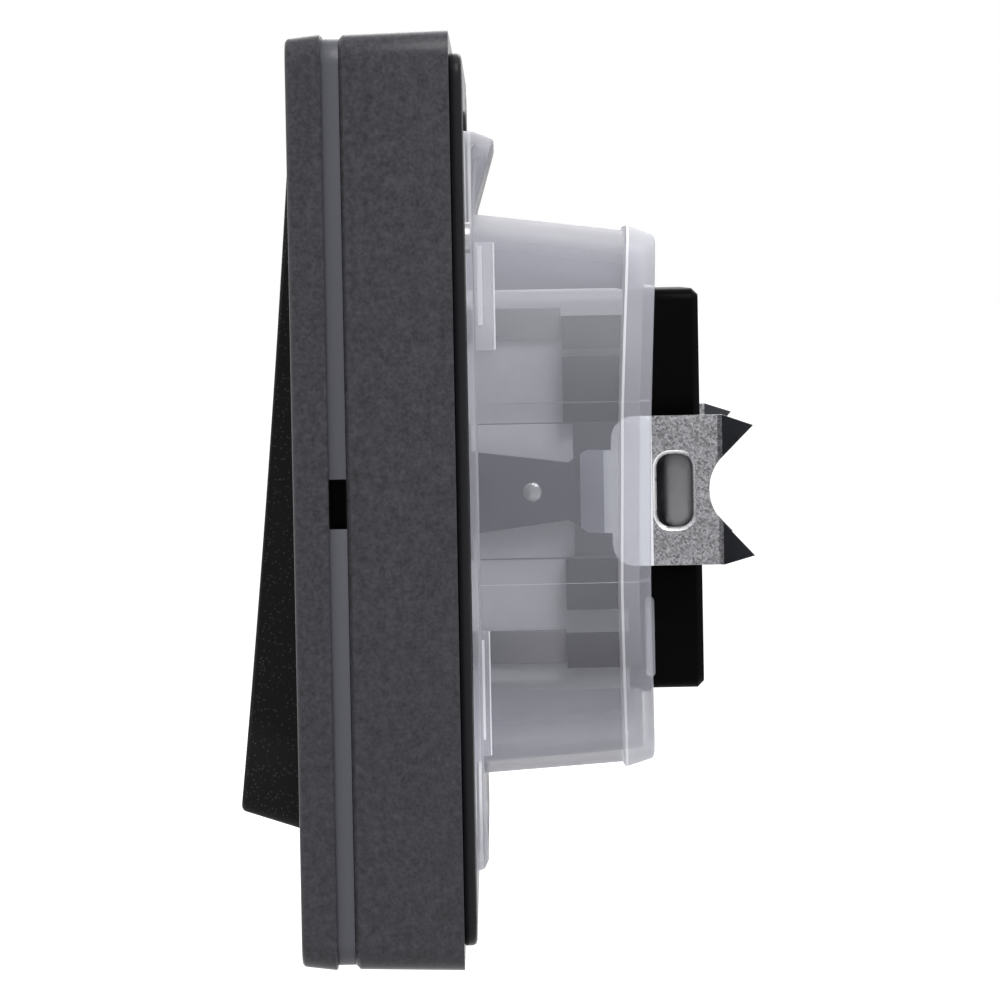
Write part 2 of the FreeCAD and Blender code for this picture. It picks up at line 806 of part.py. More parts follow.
def make_contact_rocker():
    """Moving contact bridge that rocks on the common terminal's ridge."""
    bridge = body("contact_rocker")
    rear = -d.contact_stand
    plate = rounded(d.contact_half_wide, d.contact_half_tall, d.rocker_corner)
    slab(bridge, plate, rear - d.contact_sheet, rear)
    sketch = sketch_on(bridge, "YZ_Plane", 0)
    draw_circle(sketch, d.groove_radius)
    pocket(bridge, sketch, d.contact_half_wide * 2.5, both_ways=True)
    for side in (-1, 1):
        button = circled(d.button_radius, 0, d.contact_arm * side)
        slab(bridge, button, rear, rear + d.button_tall)
    tilt(bridge, d.contact_pivot, d.contact_tilt, 1)


def make_common_terminal():
    """Upright strip with a rounded ridge that the bridge rocks on."""
    terminal = body("common_terminal")
    step = d.contact_pivot + d.terminal_step
    slab(terminal, boxed(d.ridge_half_wide, d.terminal_sheet / 2), d.contact_pivot, step)
    slab(terminal, boxed(d.terminal_half_wide, d.terminal_sheet / 2), step, BASE_FLOOR)
    sketch = sketch_on(terminal, "YZ_Plane", 0)
    draw_circle(sketch, d.ridge_radius, d.contact_pivot, 0)
    pad(terminal, sketch, d.ridge_half_wide * 2, both_ways=True)


def make_fixed_contact(name, side):
    """Bent strip: contact button, foot and the wire's clamping face."""
    strip = body(name)
    front = d.contact_pivot + d.fixed_contact_drop
    foot_at = d.fixed_strip_at + d.fixed_sheet / 2 - d.fixed_foot
    slab(strip, boxed(d.fixed_half_wide, d.fixed_foot, 0, foot_at * side), front, front + d.fixed_sheet)
    slab(strip, circled(d.button_radius, 0, d.contact_arm * side), front - d.button_tall, front)
    upright = boxed(d.fixed_strip_half_wide, d.fixed_sheet / 2, 0, d.fixed_strip_at * side)
    slab(strip, upright, front, BASE_FLOOR)


def make_clamp_spring(name, seat, side):
    """Folded leaf that grips the wires against a terminal strip."""
    leaf = body(name)
    rear, front, tip = d.clamp_rear, d.clamp_front, d.clamp_tip
    tall, sheet, foot = d.clamp_tall, d.clamp_sheet, d.clamp_foot
    path = [
        (rear, tall),
        (front + sheet * 1.5, tall),
        (front, tall - sheet * 1.75),
        (tip, foot + sheet),
        (tip - sheet / 2, foot),
        (front - sheet * 1.5, tall - sheet * 2),
        (front + sheet, tall + sheet),
        (rear, tall + sheet),
    ]
    sketch = sketch_on(leaf, "YZ_Plane", 0)
    draw_outline(sketch, [(y, seat + z * side) for y, z in path])
    pad(leaf, sketch, d.clamp_wide, both_ways=True)


def make_release_lever(name, at):
    lever = body(name)
    wide, tall = d.lever_half_wide, d.lever_half_tall
    flange_rear = BASE_FLOOR - d.terminal_sheet + d.run_gap
    slab(lever, boxed(wide, tall, 0, at), flange_rear, d.base_rear)
    slab(lever, boxed(wide + d.lever_flange, tall, 0, at), flange_rear - d.lever_flange_tall, flange_rear)


# Insert housing


def make_insert_cover():
    """Front housing on the ring, with the bearing posts of the toggle."""
    cover = body("insert_cover")
    slab(cover, rounded(d.cover_half_wide, d.cover_half_tall, d.cover_corner), COVER_FRONT, RING_FRONT)
    for side in (-1, 1):
        post = boxed(d.post_thick / 2, d.post_half, d.post_at * side, 0)
        slab(cover, post, -d.post_front, COVER_FRONT)
    mouth = rounded(d.cover_mouth_wide, d.cover_mouth_tall, d.cover_corner)
    well(cover, mouth, COVER_FRONT, RING_FRONT)
    sketch = sketch_on(cover, "YZ_Plane", 0)
    draw_circle(sketch, d.pin_radius + d.run_gap, -d.pivot_depth, 0)
    pocket(cover, sketch, d.cover_half_wide * 2.5, both_ways=True)
    front, half = -d.post_front.value, d.post_half.value
    soften(
        cover, "Fillet", d.post_round, lambda p, e: abs(p.y - front) < 0.01 and abs(abs(p.z) - half) < 0.01
    )


def claw_channel(owner, front, rear):
    """Cuts the open channel for a claw and its screw into each flank."""
    outside = d.base_half_wide + d.base_wall
    for side in (-1, 1):
        middle = (d.channel_at + outside) / 2
        half = (outside - d.channel_at) / 2
        well(owner, boxed(half, d.channel_half, middle * side, 0), front, rear)


def terminal_room(owner, front, rear):
    """Hollows the housing between the channels and in its upper and lower thirds."""
    wide, tall, wall = d.base_half_wide, d.base_half_tall, d.base_wall
    well(owner, boxed(d.channel_at - wall, tall - wall), front, rear)
    low, high = d.channel_half + wall, tall - wall
    for side in (-1, 1):
        third = boxed(wide - wall, (high - low) / 2, 0, (low + high) / 2 * side)
        well(owner, third, front, rear)


def make_switch_base():
    """Light housing behind the ring, open to the rear cover."""
    base = body("switch_base")
    outline = rounded(d.base_half_wide, d.base_half_tall, d.base_corner)
    slab(base, outline, RING_REAR, d.base_split)
    claw_channel(base, RING_REAR, d.base_split)
    terminal_room(base, RING_REAR, d.base_split)


def make_rear_cover():
    """Dark rear cover: latch tongues on the flanks, wire holes and slots for the levers."""
    cover = body("rear_cover")
    slab(cover, rounded(d.base_half_wide, d.base_half_tall, d.base_corner), d.base_split, d.base_rear)
    rear = d.base_rear.value
    soften(cover, "Chamfer", d.base_bevel, lambda p, e: abs(p.y - rear) < 0.01)
    claw_channel(cover, d.base_split, d.base_rear)
    terminal_room(cover, d.base_split, BASE_FLOOR)
    for at in WIRE_HOLES:
        pair = both(circled(d.wire_radius, d.wire_at, at), circled(d.wire_radius, -d.wire_at, at))
        well(cover, pair, BASE_FLOOR, d.base_rear)
    play = d.lever_play
    for at in LEVERS.values():
        slot = boxed(d.lever_half_wide + play, d.lever_half_tall + play, 0, at)
        well(cover, slot, BASE_FLOOR, d.base_rear)
    across = d.base_half_wide + d.latch_out / 2
    for side in (-1, 1):
        for low, high in LATCHES:
            tall, at = (high - low) / 2, (low + high) / 2
            tongue = boxed(d.latch_out / 2, tall, across * side, at)
            slab(cover, tongue, d.latch_front, d.base_split + d.latch_lap)
            root = boxed(d.latch_out / 2 + d.latch_sink, tall, (across - d.latch_sink) * side, at)
            slab(cover, root, d.base_split, d.base_split + d.latch_lap)


def box_slots():
    """Places of the four slots for the screws of a flush box."""
    pitch = d.box_spacing / 2
    return [(pitch, 0), (-pitch, 0), (0, pitch), (0, -pitch)]


def make_support_ring():
    """Stamped steel plate: box-screw slots, tapped corner holes and claw slots."""
    ring = body("support_ring")
    half = d.ring_size / 2
    cut = half - d.ring_cut
    slab(ring, eight_sided(half, cut), RING_FRONT, RING_REAR)
    well(ring, rounded(d.ring_mouth_wide, d.ring_mouth_tall, d.cover_corner), RING_FRONT, RING_REAR)
    for u, v in box_slots():
        slot = slotted(d.box_slot_long, d.box_slot_radius, u, v)
        well(ring, slot, RING_FRONT, RING_REAR)
    for side in (-1, 1):
        screw = circled(d.screw_radius + d.screw_clear, d.claw_screw_at * side, 0)
        well(ring, screw, RING_FRONT, RING_REAR)
        wide, tall = d.claw_sheet / 2 + 2 * d.screw_clear, d.claw_neck + d.collar_gap
        well(ring, boxed(wide, tall, d.claw_pivot * side, 0), RING_FRONT, RING_REAR)
    tapped = circled(d.screw_radius + d.run_gap, d.frame_screw_at, d.frame_screw_at)
    around(ring, 2, well(ring, tapped, RING_FRONT, RING_REAR))


def make_sealing_collar():
    """Translucent elastomer collar: turned-back flange, tapered wall, bead and rear lip."""
    collar = body("sealing_collar")
    wall = d.collar_wall
    rear = d.claw_head_at + d.claw_sheet + d.collar_clear + wall
    bead, front = rear + d.collar_bead_more, rear + d.collar_front_more
    bead_rear = d.collar_bead_at + d.collar_bead_long
    lip_front = d.collar_rear - wall

    def ring(half, inset=0):
        return rounded(half - inset, half - inset, d.collar_corner - inset)

    def rim(inset):
        return rounded(d.flange_half - inset, d.flange_half - inset, d.flange_corner)

    slab(collar, rim(0), RING_REAR, FLANGE_REAR)
    loft(collar, [(FLANGE_REAR + d.lip_tall, rim(d.lip_lean)), (FLANGE_REAR, rim(0))])
    loft(
        collar,
        [(FLANGE_REAR + d.lip_tall, rim(d.lip_lean + d.lip_wide / 2)), (FLANGE_REAR, rim(d.lip_wide))],
        cut=True,
    )
    loft(collar, [(d.collar_bead_at, ring(bead)), (RING_REAR, ring(front))])
    slab(collar, ring(bead, -d.collar_bead_out), d.collar_bead_at, bead_rear)
    loft(collar, [(d.collar_rear, ring(rear)), (bead_rear, ring(bead))])
    loft(collar, [(lip_front, ring(rear, wall)), (RING_REAR, ring(front, wall))], cut=True)
    gap = d.collar_gap
    well(collar, boxed(d.base_half_wide + gap, d.base_half_tall + gap), lip_front, d.collar_rear)
    inner, outer = d.base_half_wide - gap, d.claw_head_at + d.claw_sheet + gap
    for side in (-1, 1):
        claw_gap = boxed((outer - inner) / 2, d.claw_half + gap * 2, (outer + inner) / 2 * side, 0)
        well(collar, claw_gap, lip_front, d.collar_rear)
        tab = boxed(wall / 2, d.tab_half, d.tab_at * side, -d.tab_low)
        slab(collar, tab, lip_front, d.collar_rear + d.tab_out)
    clear = d.screw_radius + d.screw_clear * 2
    window = boxed(clear, clear, d.frame_screw_at, d.frame_screw_at)
    around(collar, 2, well(collar, window, RING_REAR, FLANGE_REAR))
    for u, v in box_slots():
        window = boxed(d.box_slot_long / 2 + gap, d.box_slot_radius + gap, u, v)
        well(collar, window, RING_REAR, FLANGE_REAR)


# Spreading claws


def make_claw(name, side):
    """Folded sheet claw: T head in the ring, tapered arm, joggle, wide head and two teeth."""
    claw = body(name)
    arm, head, sheet = d.claw_arm_at, d.claw_head_at, d.claw_sheet
    joggle_end = d.claw_joggle + head - arm
    reach = d.claw_tooth_long
    tip_rear = d.claw_bend + reach
    miter = sheet * math.tan(math.radians(22.5))
    tip = head + reach
    profile = [
        (arm, -d.claw_front),
        (arm, d.claw_joggle),
        (head, joggle_end),
        (head, d.claw_bend),
        (tip, tip_rear),
        (tip + sheet * math.sqrt(2), tip_rear),
        (head + sheet, d.claw_bend - miter),
        (head + sheet, joggle_end - miter),
        (arm + sheet, d.claw_joggle - miter),
        (arm + sheet, -d.claw_front),
    ]
    sketch = sketch_on(claw, "XY_Plane", 0)
    draw_outline(sketch, [(x * side, y) for x, y in profile])
    pad(claw, sketch, d.claw_half * 2, both_ways=True)

    half, waist = d.claw_half, d.claw_arm_half
    hook_rear = d.claw_hook - d.claw_front
    round_by = d.claw_tooth_round
    notch = round_by * math.sin(math.radians(45))
    upper = [
        (-d.claw_front, waist),
        (hook_rear, waist),
        (hook_rear, d.claw_neck),
        (Size.of(0), d.claw_neck),
        (Size.of(0), waist),
        (d.claw_joggle - sheet, d.claw_waist_half),
        (d.claw_joggle + sheet / 2, waist),
        (d.claw_shoulder, waist),
        (d.claw_shoulder, half),
        (d.claw_bend, half),
        (tip_rear, half - sheet * 0.8),
        (d.claw_bend, notch),
    ]
    outline = upper + [(y, -z) for y, z in reversed(upper)]
    sketch = sketch_on(claw, "YZ_Plane", 0)
    draw_box(sketch, tip_rear, half * 2, tip_rear / 2, 0)
    draw_outline(sketch, outline)
    pocket(claw, sketch, head * 3, both_ways=True)
    sketch = sketch_on(claw, "YZ_Plane", 0)
    draw_circle(sketch, round_by, d.claw_bend + notch, 0)
    pocket(claw, sketch, head * 3, both_ways=True)

    slot_rear = d.claw_bend - d.claw_slot_back
    slot_half = d.claw_slot_wide / 2
    slot_at = slot_rear - slot_half
    sketch = sketch_on(claw, "YZ_Plane", 0)
    draw_box(sketch, slot_half, d.claw_slot_half, slot_at, 0)
    pocket(claw, sketch, head * 3, both_ways=True)
    shoulder, slot_z = d.claw_shoulder.value, d.claw_slot_half.value
    slot_ends = ((slot_rear - d.claw_slot_wide).value, slot_rear.value)

    def at_slot_corner(p, e):
        return abs(abs(p.z) - slot_z) < 0.01 and min(abs(p.y - end) for end in slot_ends) < 0.01

    def at_shoulder(p, e):
        return abs(p.y - shoulder) < 0.01 and abs(abs(p.z) - half.value) < 0.01

    outer = side * (head + sheet).value

    def at_slot_rim(p, e):
        in_slot = slot_ends[0] - 0.01 < p.y < slot_ends[1] + 0.01 and abs(p.z) < slot_z + 0.01
        return abs(p.x - outer) < 0.01 and in_slot

    soften(claw, "Fillet", d.claw_slot_corner, at_slot_corner)
    soften(claw, "Fillet", d.claw_round, at_shoulder)
    soften(claw, "Chamfer", d.claw_slot_bevel, at_slot_rim)


def make_claw_wedge(name, side):
    """Tapped wedge that rides the claw screw and pushes the claw outwards."""
    wedge = body(name)
    inner, outer = d.wedge_inner, d.claw_head_at - d.wedge_gap
    front, rear = d.wedge_front, d.wedge_rear
    block = boxed((outer - inner) / 2, d.wedge_half, (outer + inner) / 2 * side, 0)
    slab(wedge, block, front, rear)
    edge_x, edge_y = side * outer.value, front.value
    soften(
        wedge, "Fillet", d.wedge_round, lambda p, e: abs(p.x - edge_x) < 0.01 and abs(p.y - edge_y) < 0.01
    )
    well(wedge, circled(d.screw_radius + d.run_gap, d.claw_screw_at * side, 0), front, rear)


def make_claw_screw(name, side):
    screw = body(name)
    at = d.claw_screw_at * side
    head_front = RING_FRONT - d.claw_screw_head_tall
    slab(screw, circled(d.screw_radius, at, 0), RING_FRONT, d.claw_screw_end)
    slab(screw, circled(d.claw_screw_head, at, 0), head_front, RING_FRONT)
    slot = boxed(d.claw_screw_head * 1.1, d.claw_screw_slot, at, 0)
    well(screw, slot, head_front, head_front + d.claw_screw_head_tall / 2)


def build():
    make_wall_gasket()
    make_back_frame()
    make_frame_seal()
    make_front_frame()
    make_frame_screws()
    make_membrane()
    make_rocker()
    make_toggle()
    make_toggle_plunger()
    make_toggle_spring()
    make_contact_rocker()
    make_common_terminal()
    make_fixed_contact("fixed_contact_upper", 1)
    make_fixed_contact("fixed_contact_lower", -1)
    seat = d.fixed_strip_at + d.fixed_sheet / 2
    make_clamp_spring("clamp_spring_upper", seat, 1)
    make_clamp_spring("clamp_spring_common", -d.terminal_sheet / 2, -1)
    make_clamp_spring("clamp_spring_lower", -seat, -1)
    for name, at in LEVERS.items():
        make_release_lever(name, at)
    make_insert_cover()
    make_switch_base()
    make_rear_cover()
    make_support_ring()
    make_sealing_collar()
    for name, side in (("left", -1), ("right", 1)):
        make_claw("claw_" + name, side)
        make_claw_wedge("claw_wedge_" + name, side)
        make_claw_screw("claw_screw_" + name, side)
    doc.recompute()


def write_parts():
    for thing in doc.Objects:
        if {"Invalid", "Error"} & set(thing.State):
            raise RuntimeError(thing.Name + " failed: " + ", ".join(thing.State))
    for name, part in PARTS.items():
        if part.Shape.isNull() or not part.Shape.isValid():
            raise RuntimeError(name + " has no valid shape")
    os.makedirs("parts", exist_ok=True)
    for name, part in PARTS.items():
        part.Shape.exportStep(os.path.join("parts", name + ".step"))
        print("%-24s solids %d  volume %9.1f mm3" % (name, len(part.Shape.Solids), part.Shape.Volume))


build()
write_parts()
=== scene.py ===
"""Weatherproof rocker switch with its flush insert: finishes, soft seals and the finer metalwork.

Blender works in metres. The sizes written here are millimetres, which MM turns into metres, unless
a comment says otherwise. +Z is up, the rocker faces -Y, and Y = 0 is the wall plane, so a depth is a
place along Y.
"""

import json
import math

import bmesh
import bpy
from mathutils import Matrix, Vector


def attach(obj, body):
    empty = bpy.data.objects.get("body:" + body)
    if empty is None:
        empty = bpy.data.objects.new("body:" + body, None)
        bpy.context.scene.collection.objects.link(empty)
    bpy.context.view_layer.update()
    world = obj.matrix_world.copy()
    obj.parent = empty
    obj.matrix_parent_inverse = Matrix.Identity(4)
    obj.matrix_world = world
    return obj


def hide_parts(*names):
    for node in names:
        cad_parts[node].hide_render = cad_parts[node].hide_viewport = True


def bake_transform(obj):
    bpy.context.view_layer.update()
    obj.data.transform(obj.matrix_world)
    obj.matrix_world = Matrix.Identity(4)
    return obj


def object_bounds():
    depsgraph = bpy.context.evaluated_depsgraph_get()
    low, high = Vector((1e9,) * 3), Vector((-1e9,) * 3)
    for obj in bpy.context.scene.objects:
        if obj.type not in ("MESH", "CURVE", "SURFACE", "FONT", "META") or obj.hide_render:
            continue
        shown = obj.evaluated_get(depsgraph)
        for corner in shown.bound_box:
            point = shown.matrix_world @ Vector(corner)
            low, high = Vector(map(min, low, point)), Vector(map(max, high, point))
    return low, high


MM = 0.001

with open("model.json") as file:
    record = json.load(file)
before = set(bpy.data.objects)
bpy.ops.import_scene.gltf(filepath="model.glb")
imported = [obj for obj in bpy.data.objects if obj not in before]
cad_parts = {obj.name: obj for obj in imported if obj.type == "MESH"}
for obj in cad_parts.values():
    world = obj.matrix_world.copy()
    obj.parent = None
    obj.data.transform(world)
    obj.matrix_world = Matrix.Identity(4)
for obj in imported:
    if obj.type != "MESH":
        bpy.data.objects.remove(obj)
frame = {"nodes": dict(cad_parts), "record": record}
NODES = frame["nodes"]
CAD_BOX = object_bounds()
BODY_OF = {node: body for body, nodes in frame["record"]["behaviour"]["bodies"].items() for node in nodes}
SLOT_OF = {entry["node"]: entry["material_slot"] for entry in frame["record"]["subparts"]}

# View, in the wall's frame: the picture's middle, the distance to it, and the lens
VIEW_MIDDLE = Vector((0.0, 2.78, -1.55)) * MM
VIEW_DISTANCE = 583.0 * MM
VIEW_HEIGHT = math.radians(2.26)
VIEW_ROLL = math.radians(-1.05)
LENS = 211.0
SENSOR = 36.0

# Floor: how far below the object it lies, and its side in metres
FLOOR_DROP = 60.0 * MM
FLOOR_SIDE = 30.0

# Each side's name and its direction along X
SIDES = (("right", 1), ("left", -1))

# Vertices nearer than this are one, in metres: in new pieces, and in copies and wound threads
WELD = 0.000001
COPY_WELD = 0.000002

# Frame stack: depths of its planes, and half widths
GASKET_FRONT = -1.25
SEAL_FRONT = -13.0
FACE = -16.3
FACE_HALF = 43.0
FRAME_REAR_HALF = 43.3
OPENING = 32.2

# Rocker: its pivot, how far it leans at rest, and its form, with depths from that pivot
PIVOT = Vector((0.0, -9.0, 0.0))
ROCKER_LEAN = math.radians(5.2)
ROCKER_FACE = -10.5
ROCKER_RIM = -3.5
ROCKER_FRONT = OPENING - 1.8
ROCKER_FLARE = math.tan(math.radians(12.0))

# Collar: its flange, the half widths of its wall from foot to rear, and the bead on the wall
FLANGE_FRONT = -0.2
FLANGE_BACK = 0.6
FLANGE_DROP = 0.55
WALL_FOOT = 27.4
WALL_AT_BEAD = 26.0
WALL_REAR = 25.3
WALL_THICK = 1.1
BEAD = 14.1
BEAD_REAR = 14.9
WALL_END = 17.4

# Half the height of the collar's cheeks, the parts of its wall beside the claws
CHEEK_HALF = 8.6

# The soft collar hangs from the ring: its rear leans by this much of the height, and it is bowed,
# longest above and below the insert; the bow is per metre
LEAN = 0.021
BOW = 1.28

# Claw: depths where its neck, its root, its speckled head and its teeth start, and where its painted light
# and shade change
NECK_START = 10.5
ROOT_START = 13.1
HEAD_START = 17.35
TEETH_START = 24.05

# Claw screw: where it stands, its thread's radii, pitch and turns, and its driver slot
SCREW_AT = 17.3
THREAD_ROOT = 1.18
THREAD_CREST = 1.5
THREAD_PITCH = 0.7
THREAD_TURNS = 28
SLOT_HALF = 0.4
SLOT_DEEP = 1.1


# Shader building blocks


def put(tree, socket, value):
    """Sets a socket from a number or colour, or links it to another node's output."""
    if isinstance(value, bpy.types.NodeSocket):
        tree.links.new(value, socket)
    else:
        socket.default_value = value


def set_inputs(node, values):
    """Sets a node's inputs by name."""
    for label, value in values.items():
        node.inputs[label].default_value = value


def new_group(name, inputs, outputs):
    """A shader node group with named sockets; returns it with its entry and exit nodes."""
    group = bpy.data.node_groups.new(name, "ShaderNodeTree")
    for label, default in inputs.items():
        socket = group.interface.new_socket(name=label, in_out="INPUT", socket_type="NodeSocketFloat")
        socket.default_value = default
    for label in outputs:
        group.interface.new_socket(name=label, in_out="OUTPUT", socket_type="NodeSocketFloat")
    return group, group.nodes.new("NodeGroupInput"), group.nodes.new("NodeGroupOutput")


def hand_over(group, leave, **values):
    """Links a group's results to its exit node."""
    for label, value in values.items():
        group.links.new(value, leave.inputs[label])


def object_place(tree):
    return tree.nodes.new("ShaderNodeTexCoord").outputs["Object"]


def place_in_piece(tree):
    """Where a point of the piece was made, in metres: its X, its depth and its height."""
    parts = tree.nodes.new("ShaderNodeSeparateXYZ")
    tree.links.new(object_place(tree), parts.inputs[0])
    return tuple(parts.outputs)


def noise(tree, place, scale, detail, rough):
    node = tree.nodes.new("ShaderNodeTexNoise")
    set_inputs(node, {"Detail": detail, "Roughness": rough})
    tree.links.new(place, node.inputs["Vector"])
    put(tree, node.inputs["Scale"], scale)
    return node.outputs["Fac"]


def cells(tree, place, scale, turn):
    """Cell pattern turned off the axes, so that no flat face lies along a row of cells."""
    turned = tree.nodes.new("ShaderNodeMapping")
    turned.inputs["Rotation"].default_value = turn
    tree.links.new(place, turned.inputs["Vector"])
    node = tree.nodes.new("ShaderNodeTexVoronoi")
    tree.links.new(turned.outputs["Vector"], node.inputs["Vector"])
    put(tree, node.inputs["Scale"], scale)
    return node


def calc(tree, operation, *values):
    node = tree.nodes.new("ShaderNodeMath")
    node.operation = operation
    for socket, value in zip(node.inputs, values):
        put(tree, socket, value)
    return node.outputs[0]


def remap(tree, value, low, high, to_low, to_high):
    node = tree.nodes.new("ShaderNodeMapRange")
    labels = ("Value", "From Min", "From Max", "To Min", "To Max")
    for label, given in zip(labels, (value, low, high, to_low, to_high)):
        put(tree, node.inputs[label], given)
    return node.outputs["Result"]


def between(tree, share, first, second):
    """The first value where the share is 0, the second where it is 1."""
    return remap(tree, share, 0.0, 1.0, first, second)


def shade_about_one(tree, value, contrast):
    """A factor for a colour, which swings about 1 with a value by a contrast."""
    return calc(tree, "ADD", calc(tree, "MULTIPLY", value, contrast), 1.0)


def mix_colour(tree, factor, first, second, mode="MIX"):
    node = tree.nodes.new("ShaderNodeMix")
    node.data_type = "RGBA"
    node.blend_type = mode
    put(tree, node.inputs[0], factor)
    put(tree, node.inputs[6], first)
    put(tree, node.inputs[7], second)
    return node.outputs[2]


def moulded_grain():
    """Spark-eroded grain of a moulded face: fine sand, broader blotches and a slow drift."""
    inputs = {"Grain": 2600.0, "Blotch": 900.0, "Contrast": 0.2}
    group, entry, leave = new_group("moulded_grain", inputs, ("Shade", "Height", "Gloss"))
    place = object_place(group)
    sand = noise(group, place, entry.outputs["Grain"], 3.0, 0.6)
    blotch = noise(group, place, entry.outputs["Blotch"], 4.0, 0.65)
    drift = noise(group, place, 60.0, 2.0, 0.5)
    mixed = calc(group, "ADD", calc(group, "MULTIPLY", sand, 0.45), calc(group, "MULTIPLY", blotch, 0.55))
    near = shade_about_one(group, remap(group, mixed, 0.32, 0.68, -1.0, 1.0), entry.outputs["Contrast"])
    shade = calc(group, "MULTIPLY", near, remap(group, drift, 0.3, 0.7, 0.97, 1.03))
    gloss = remap(group, blotch, 0.3, 0.7, -0.05, 0.05)
    hand_over(group, leave, Shade=shade, Height=mixed, Gloss=gloss)
    return group


def painted_glint_specks():
    """Sparse fine specks of paler colour on a dark grained face: painted glints where it catches the light.
    """
    group, entry, leave = new_group("painted_glint_specks", {"Scale": 4200.0, "Amount": 0.2}, ("Mask",))
    flecks = cells(group, object_place(group), entry.outputs["Scale"], (0.6, 0.8, 0.4))
    chosen = calc(group, "LESS_THAN", flecks.outputs["Color"], entry.outputs["Amount"])
    core = remap(group, flecks.outputs["Distance"], 0.12, 0.42, 1.0, 0.0)
    hand_over(group, leave, Mask=calc(group, "MULTIPLY", chosen, core))
    return group


def zinc_spangle():
    """Crystal facets of a zinc coat with a fine frosted tooth on top."""
    inputs = {"Crystal": 900.0, "Frost": 5200.0, "Contrast": 0.3}
    group, entry, leave = new_group("zinc_spangle", inputs, ("Shade", "Height", "Gloss"))
    place = object_place(group)
    crystals = cells(group, place, entry.outputs["Crystal"], (0.5, 0.3, 0.7))
    facet = group.nodes.new("ShaderNodeSeparateColor")
    group.links.new(crystals.outputs["Color"], facet.inputs[0])
    tone_of, height_of, gloss_of = facet.outputs[0], facet.outputs[1], facet.outputs[2]
    frost = noise(group, place, entry.outputs["Frost"], 3.0, 0.7)
    tone = calc(group, "ADD", calc(group, "MULTIPLY", tone_of, 0.45), calc(group, "MULTIPLY", frost, 0.75))
    shade = shade_about_one(group, calc(group, "SUBTRACT", tone, 0.6), entry.outputs["Contrast"])
    height = calc(group, "ADD", frost, calc(group, "MULTIPLY", height_of, 0.3))
    hand_over(group, leave, Shade=shade, Height=height, Gloss=between(group, gloss_of, -0.12, 0.12))
    return group


def rubbed_film():
    """Soft uneven bloom of rubber and elastomer that has been handled."""
    inputs = {"Scale": 180.0, "Contrast": 0.1}
    group, entry, leave = new_group("rubbed_film", inputs, ("Shade", "Height", "Gloss"))
    place = object_place(group)
    bloom = noise(group, place, entry.outputs["Scale"], 5.0, 0.6)
    fine = noise(group, place, 3200.0, 2.0, 0.5)
    shade = shade_about_one(group, remap(group, bloom, 0.3, 0.7, -1.0, 1.0), entry.outputs["Contrast"])
    height = calc(group, "ADD", calc(group, "MULTIPLY", bloom, 0.3), fine)
    hand_over(group, leave, Shade=shade, Height=height, Gloss=remap(group, bloom, 0.3, 0.7, -0.06, 0.06))
    return group


GRAIN = moulded_grain()
SPECKS = painted_glint_specks()
SPANGLE = zinc_spangle()
FILM = rubbed_film()


# Finishes


def start_material(name):
    material = bpy.data.materials.new(name)
    material.use_nodes = True
    tree = material.node_tree
    shader = next(node for node in tree.nodes if node.type == "BSDF_PRINCIPLED")
    return material, tree, shader


def place_group(tree, group, values):
    node = tree.nodes.new("ShaderNodeGroup")
    node.node_tree = group
    set_inputs(node, values)
    return node


def colour_so_far(shader):
    """The output that feeds a shader's colour."""
    return shader.inputs["Base Color"].links[0].from_socket


def surface_finish(name, colour, rough, group, values, metal=0.0, sheen=0.5):
    """A finish whose colour, roughness and normal all come from one surface group."""
    material, tree, shader = start_material(name)
    surface = place_group(tree, group, values)
    tinted = mix_colour(tree, 1.0, (*colour, 1.0), surface.outputs["Shade"], "MULTIPLY")
    tree.links.new(tinted, shader.inputs["Base Color"])
    tree.links.new(calc(tree, "ADD", surface.outputs["Gloss"], rough), shader.inputs["Roughness"])
    bump = tree.nodes.new("ShaderNodeBump")
    bump.inputs["Distance"].default_value = 0.02 * MM
    tree.links.new(surface.outputs["Height"], bump.inputs["Height"])
    tree.links.new(bump.outputs["Normal"], shader.inputs["Normal"])
    set_inputs(shader, {"Metallic": metal, "Specular IOR Level": sheen})
    return material, tree, shader


def moulded(name, colour, rough, contrast, sheen=0.5, skin=0.0):
    """Moulded plastic; the skin is the share of smooth gloss that shows at low angles."""
    values = {"Grain": 2900.0, "Blotch": 1300.0, "Contrast": contrast}
    material, _, shader = surface_finish(name, colour, rough, GRAIN, values, sheen=sheen)
    set_inputs(shader, {"Coat Weight": skin, "Coat Roughness": 0.22, "Coat IOR": 1.15})
    return material


def plated(name, colour, rough, crystal, contrast):
    values = {"Crystal": crystal, "Frost": 5000.0, "Contrast": contrast}
    return surface_finish(name, colour, rough, SPANGLE, values, metal=0.95)[0]


def rubbery(name, colour, rough, contrast):
    return surface_finish(name, colour, rough, FILM, {"Scale": 120.0, "Contrast": contrast})[0]


def rocker_painted_shade():
    """Rocker in a darker copy of the frame's grain, painted shade for its flank, with bright specks as
    painted glints.
    """
    values = {"Grain": 4200.0, "Blotch": 1900.0, "Contrast": 0.6}
    # Painted shade: the anthracite made darker, for the flank that lies in the frame's shadow
    material, tree, shader = surface_finish(
        "rocker_painted_shade", (0.0045, 0.0045, 0.0048), 0.6, GRAIN, values, sheen=0.12
    )
    # Painted glints: the specks mix a paler colour into the rocker's
    specks = place_group(tree, SPECKS, {"Scale": 3600.0, "Amount": 0.4})
    painted_glints = mix_colour(tree, specks.outputs["Mask"], colour_so_far(shader), (0.06, 0.06, 0.064, 1.0))
    tree.links.new(painted_glints, shader.inputs["Base Color"])
    return material


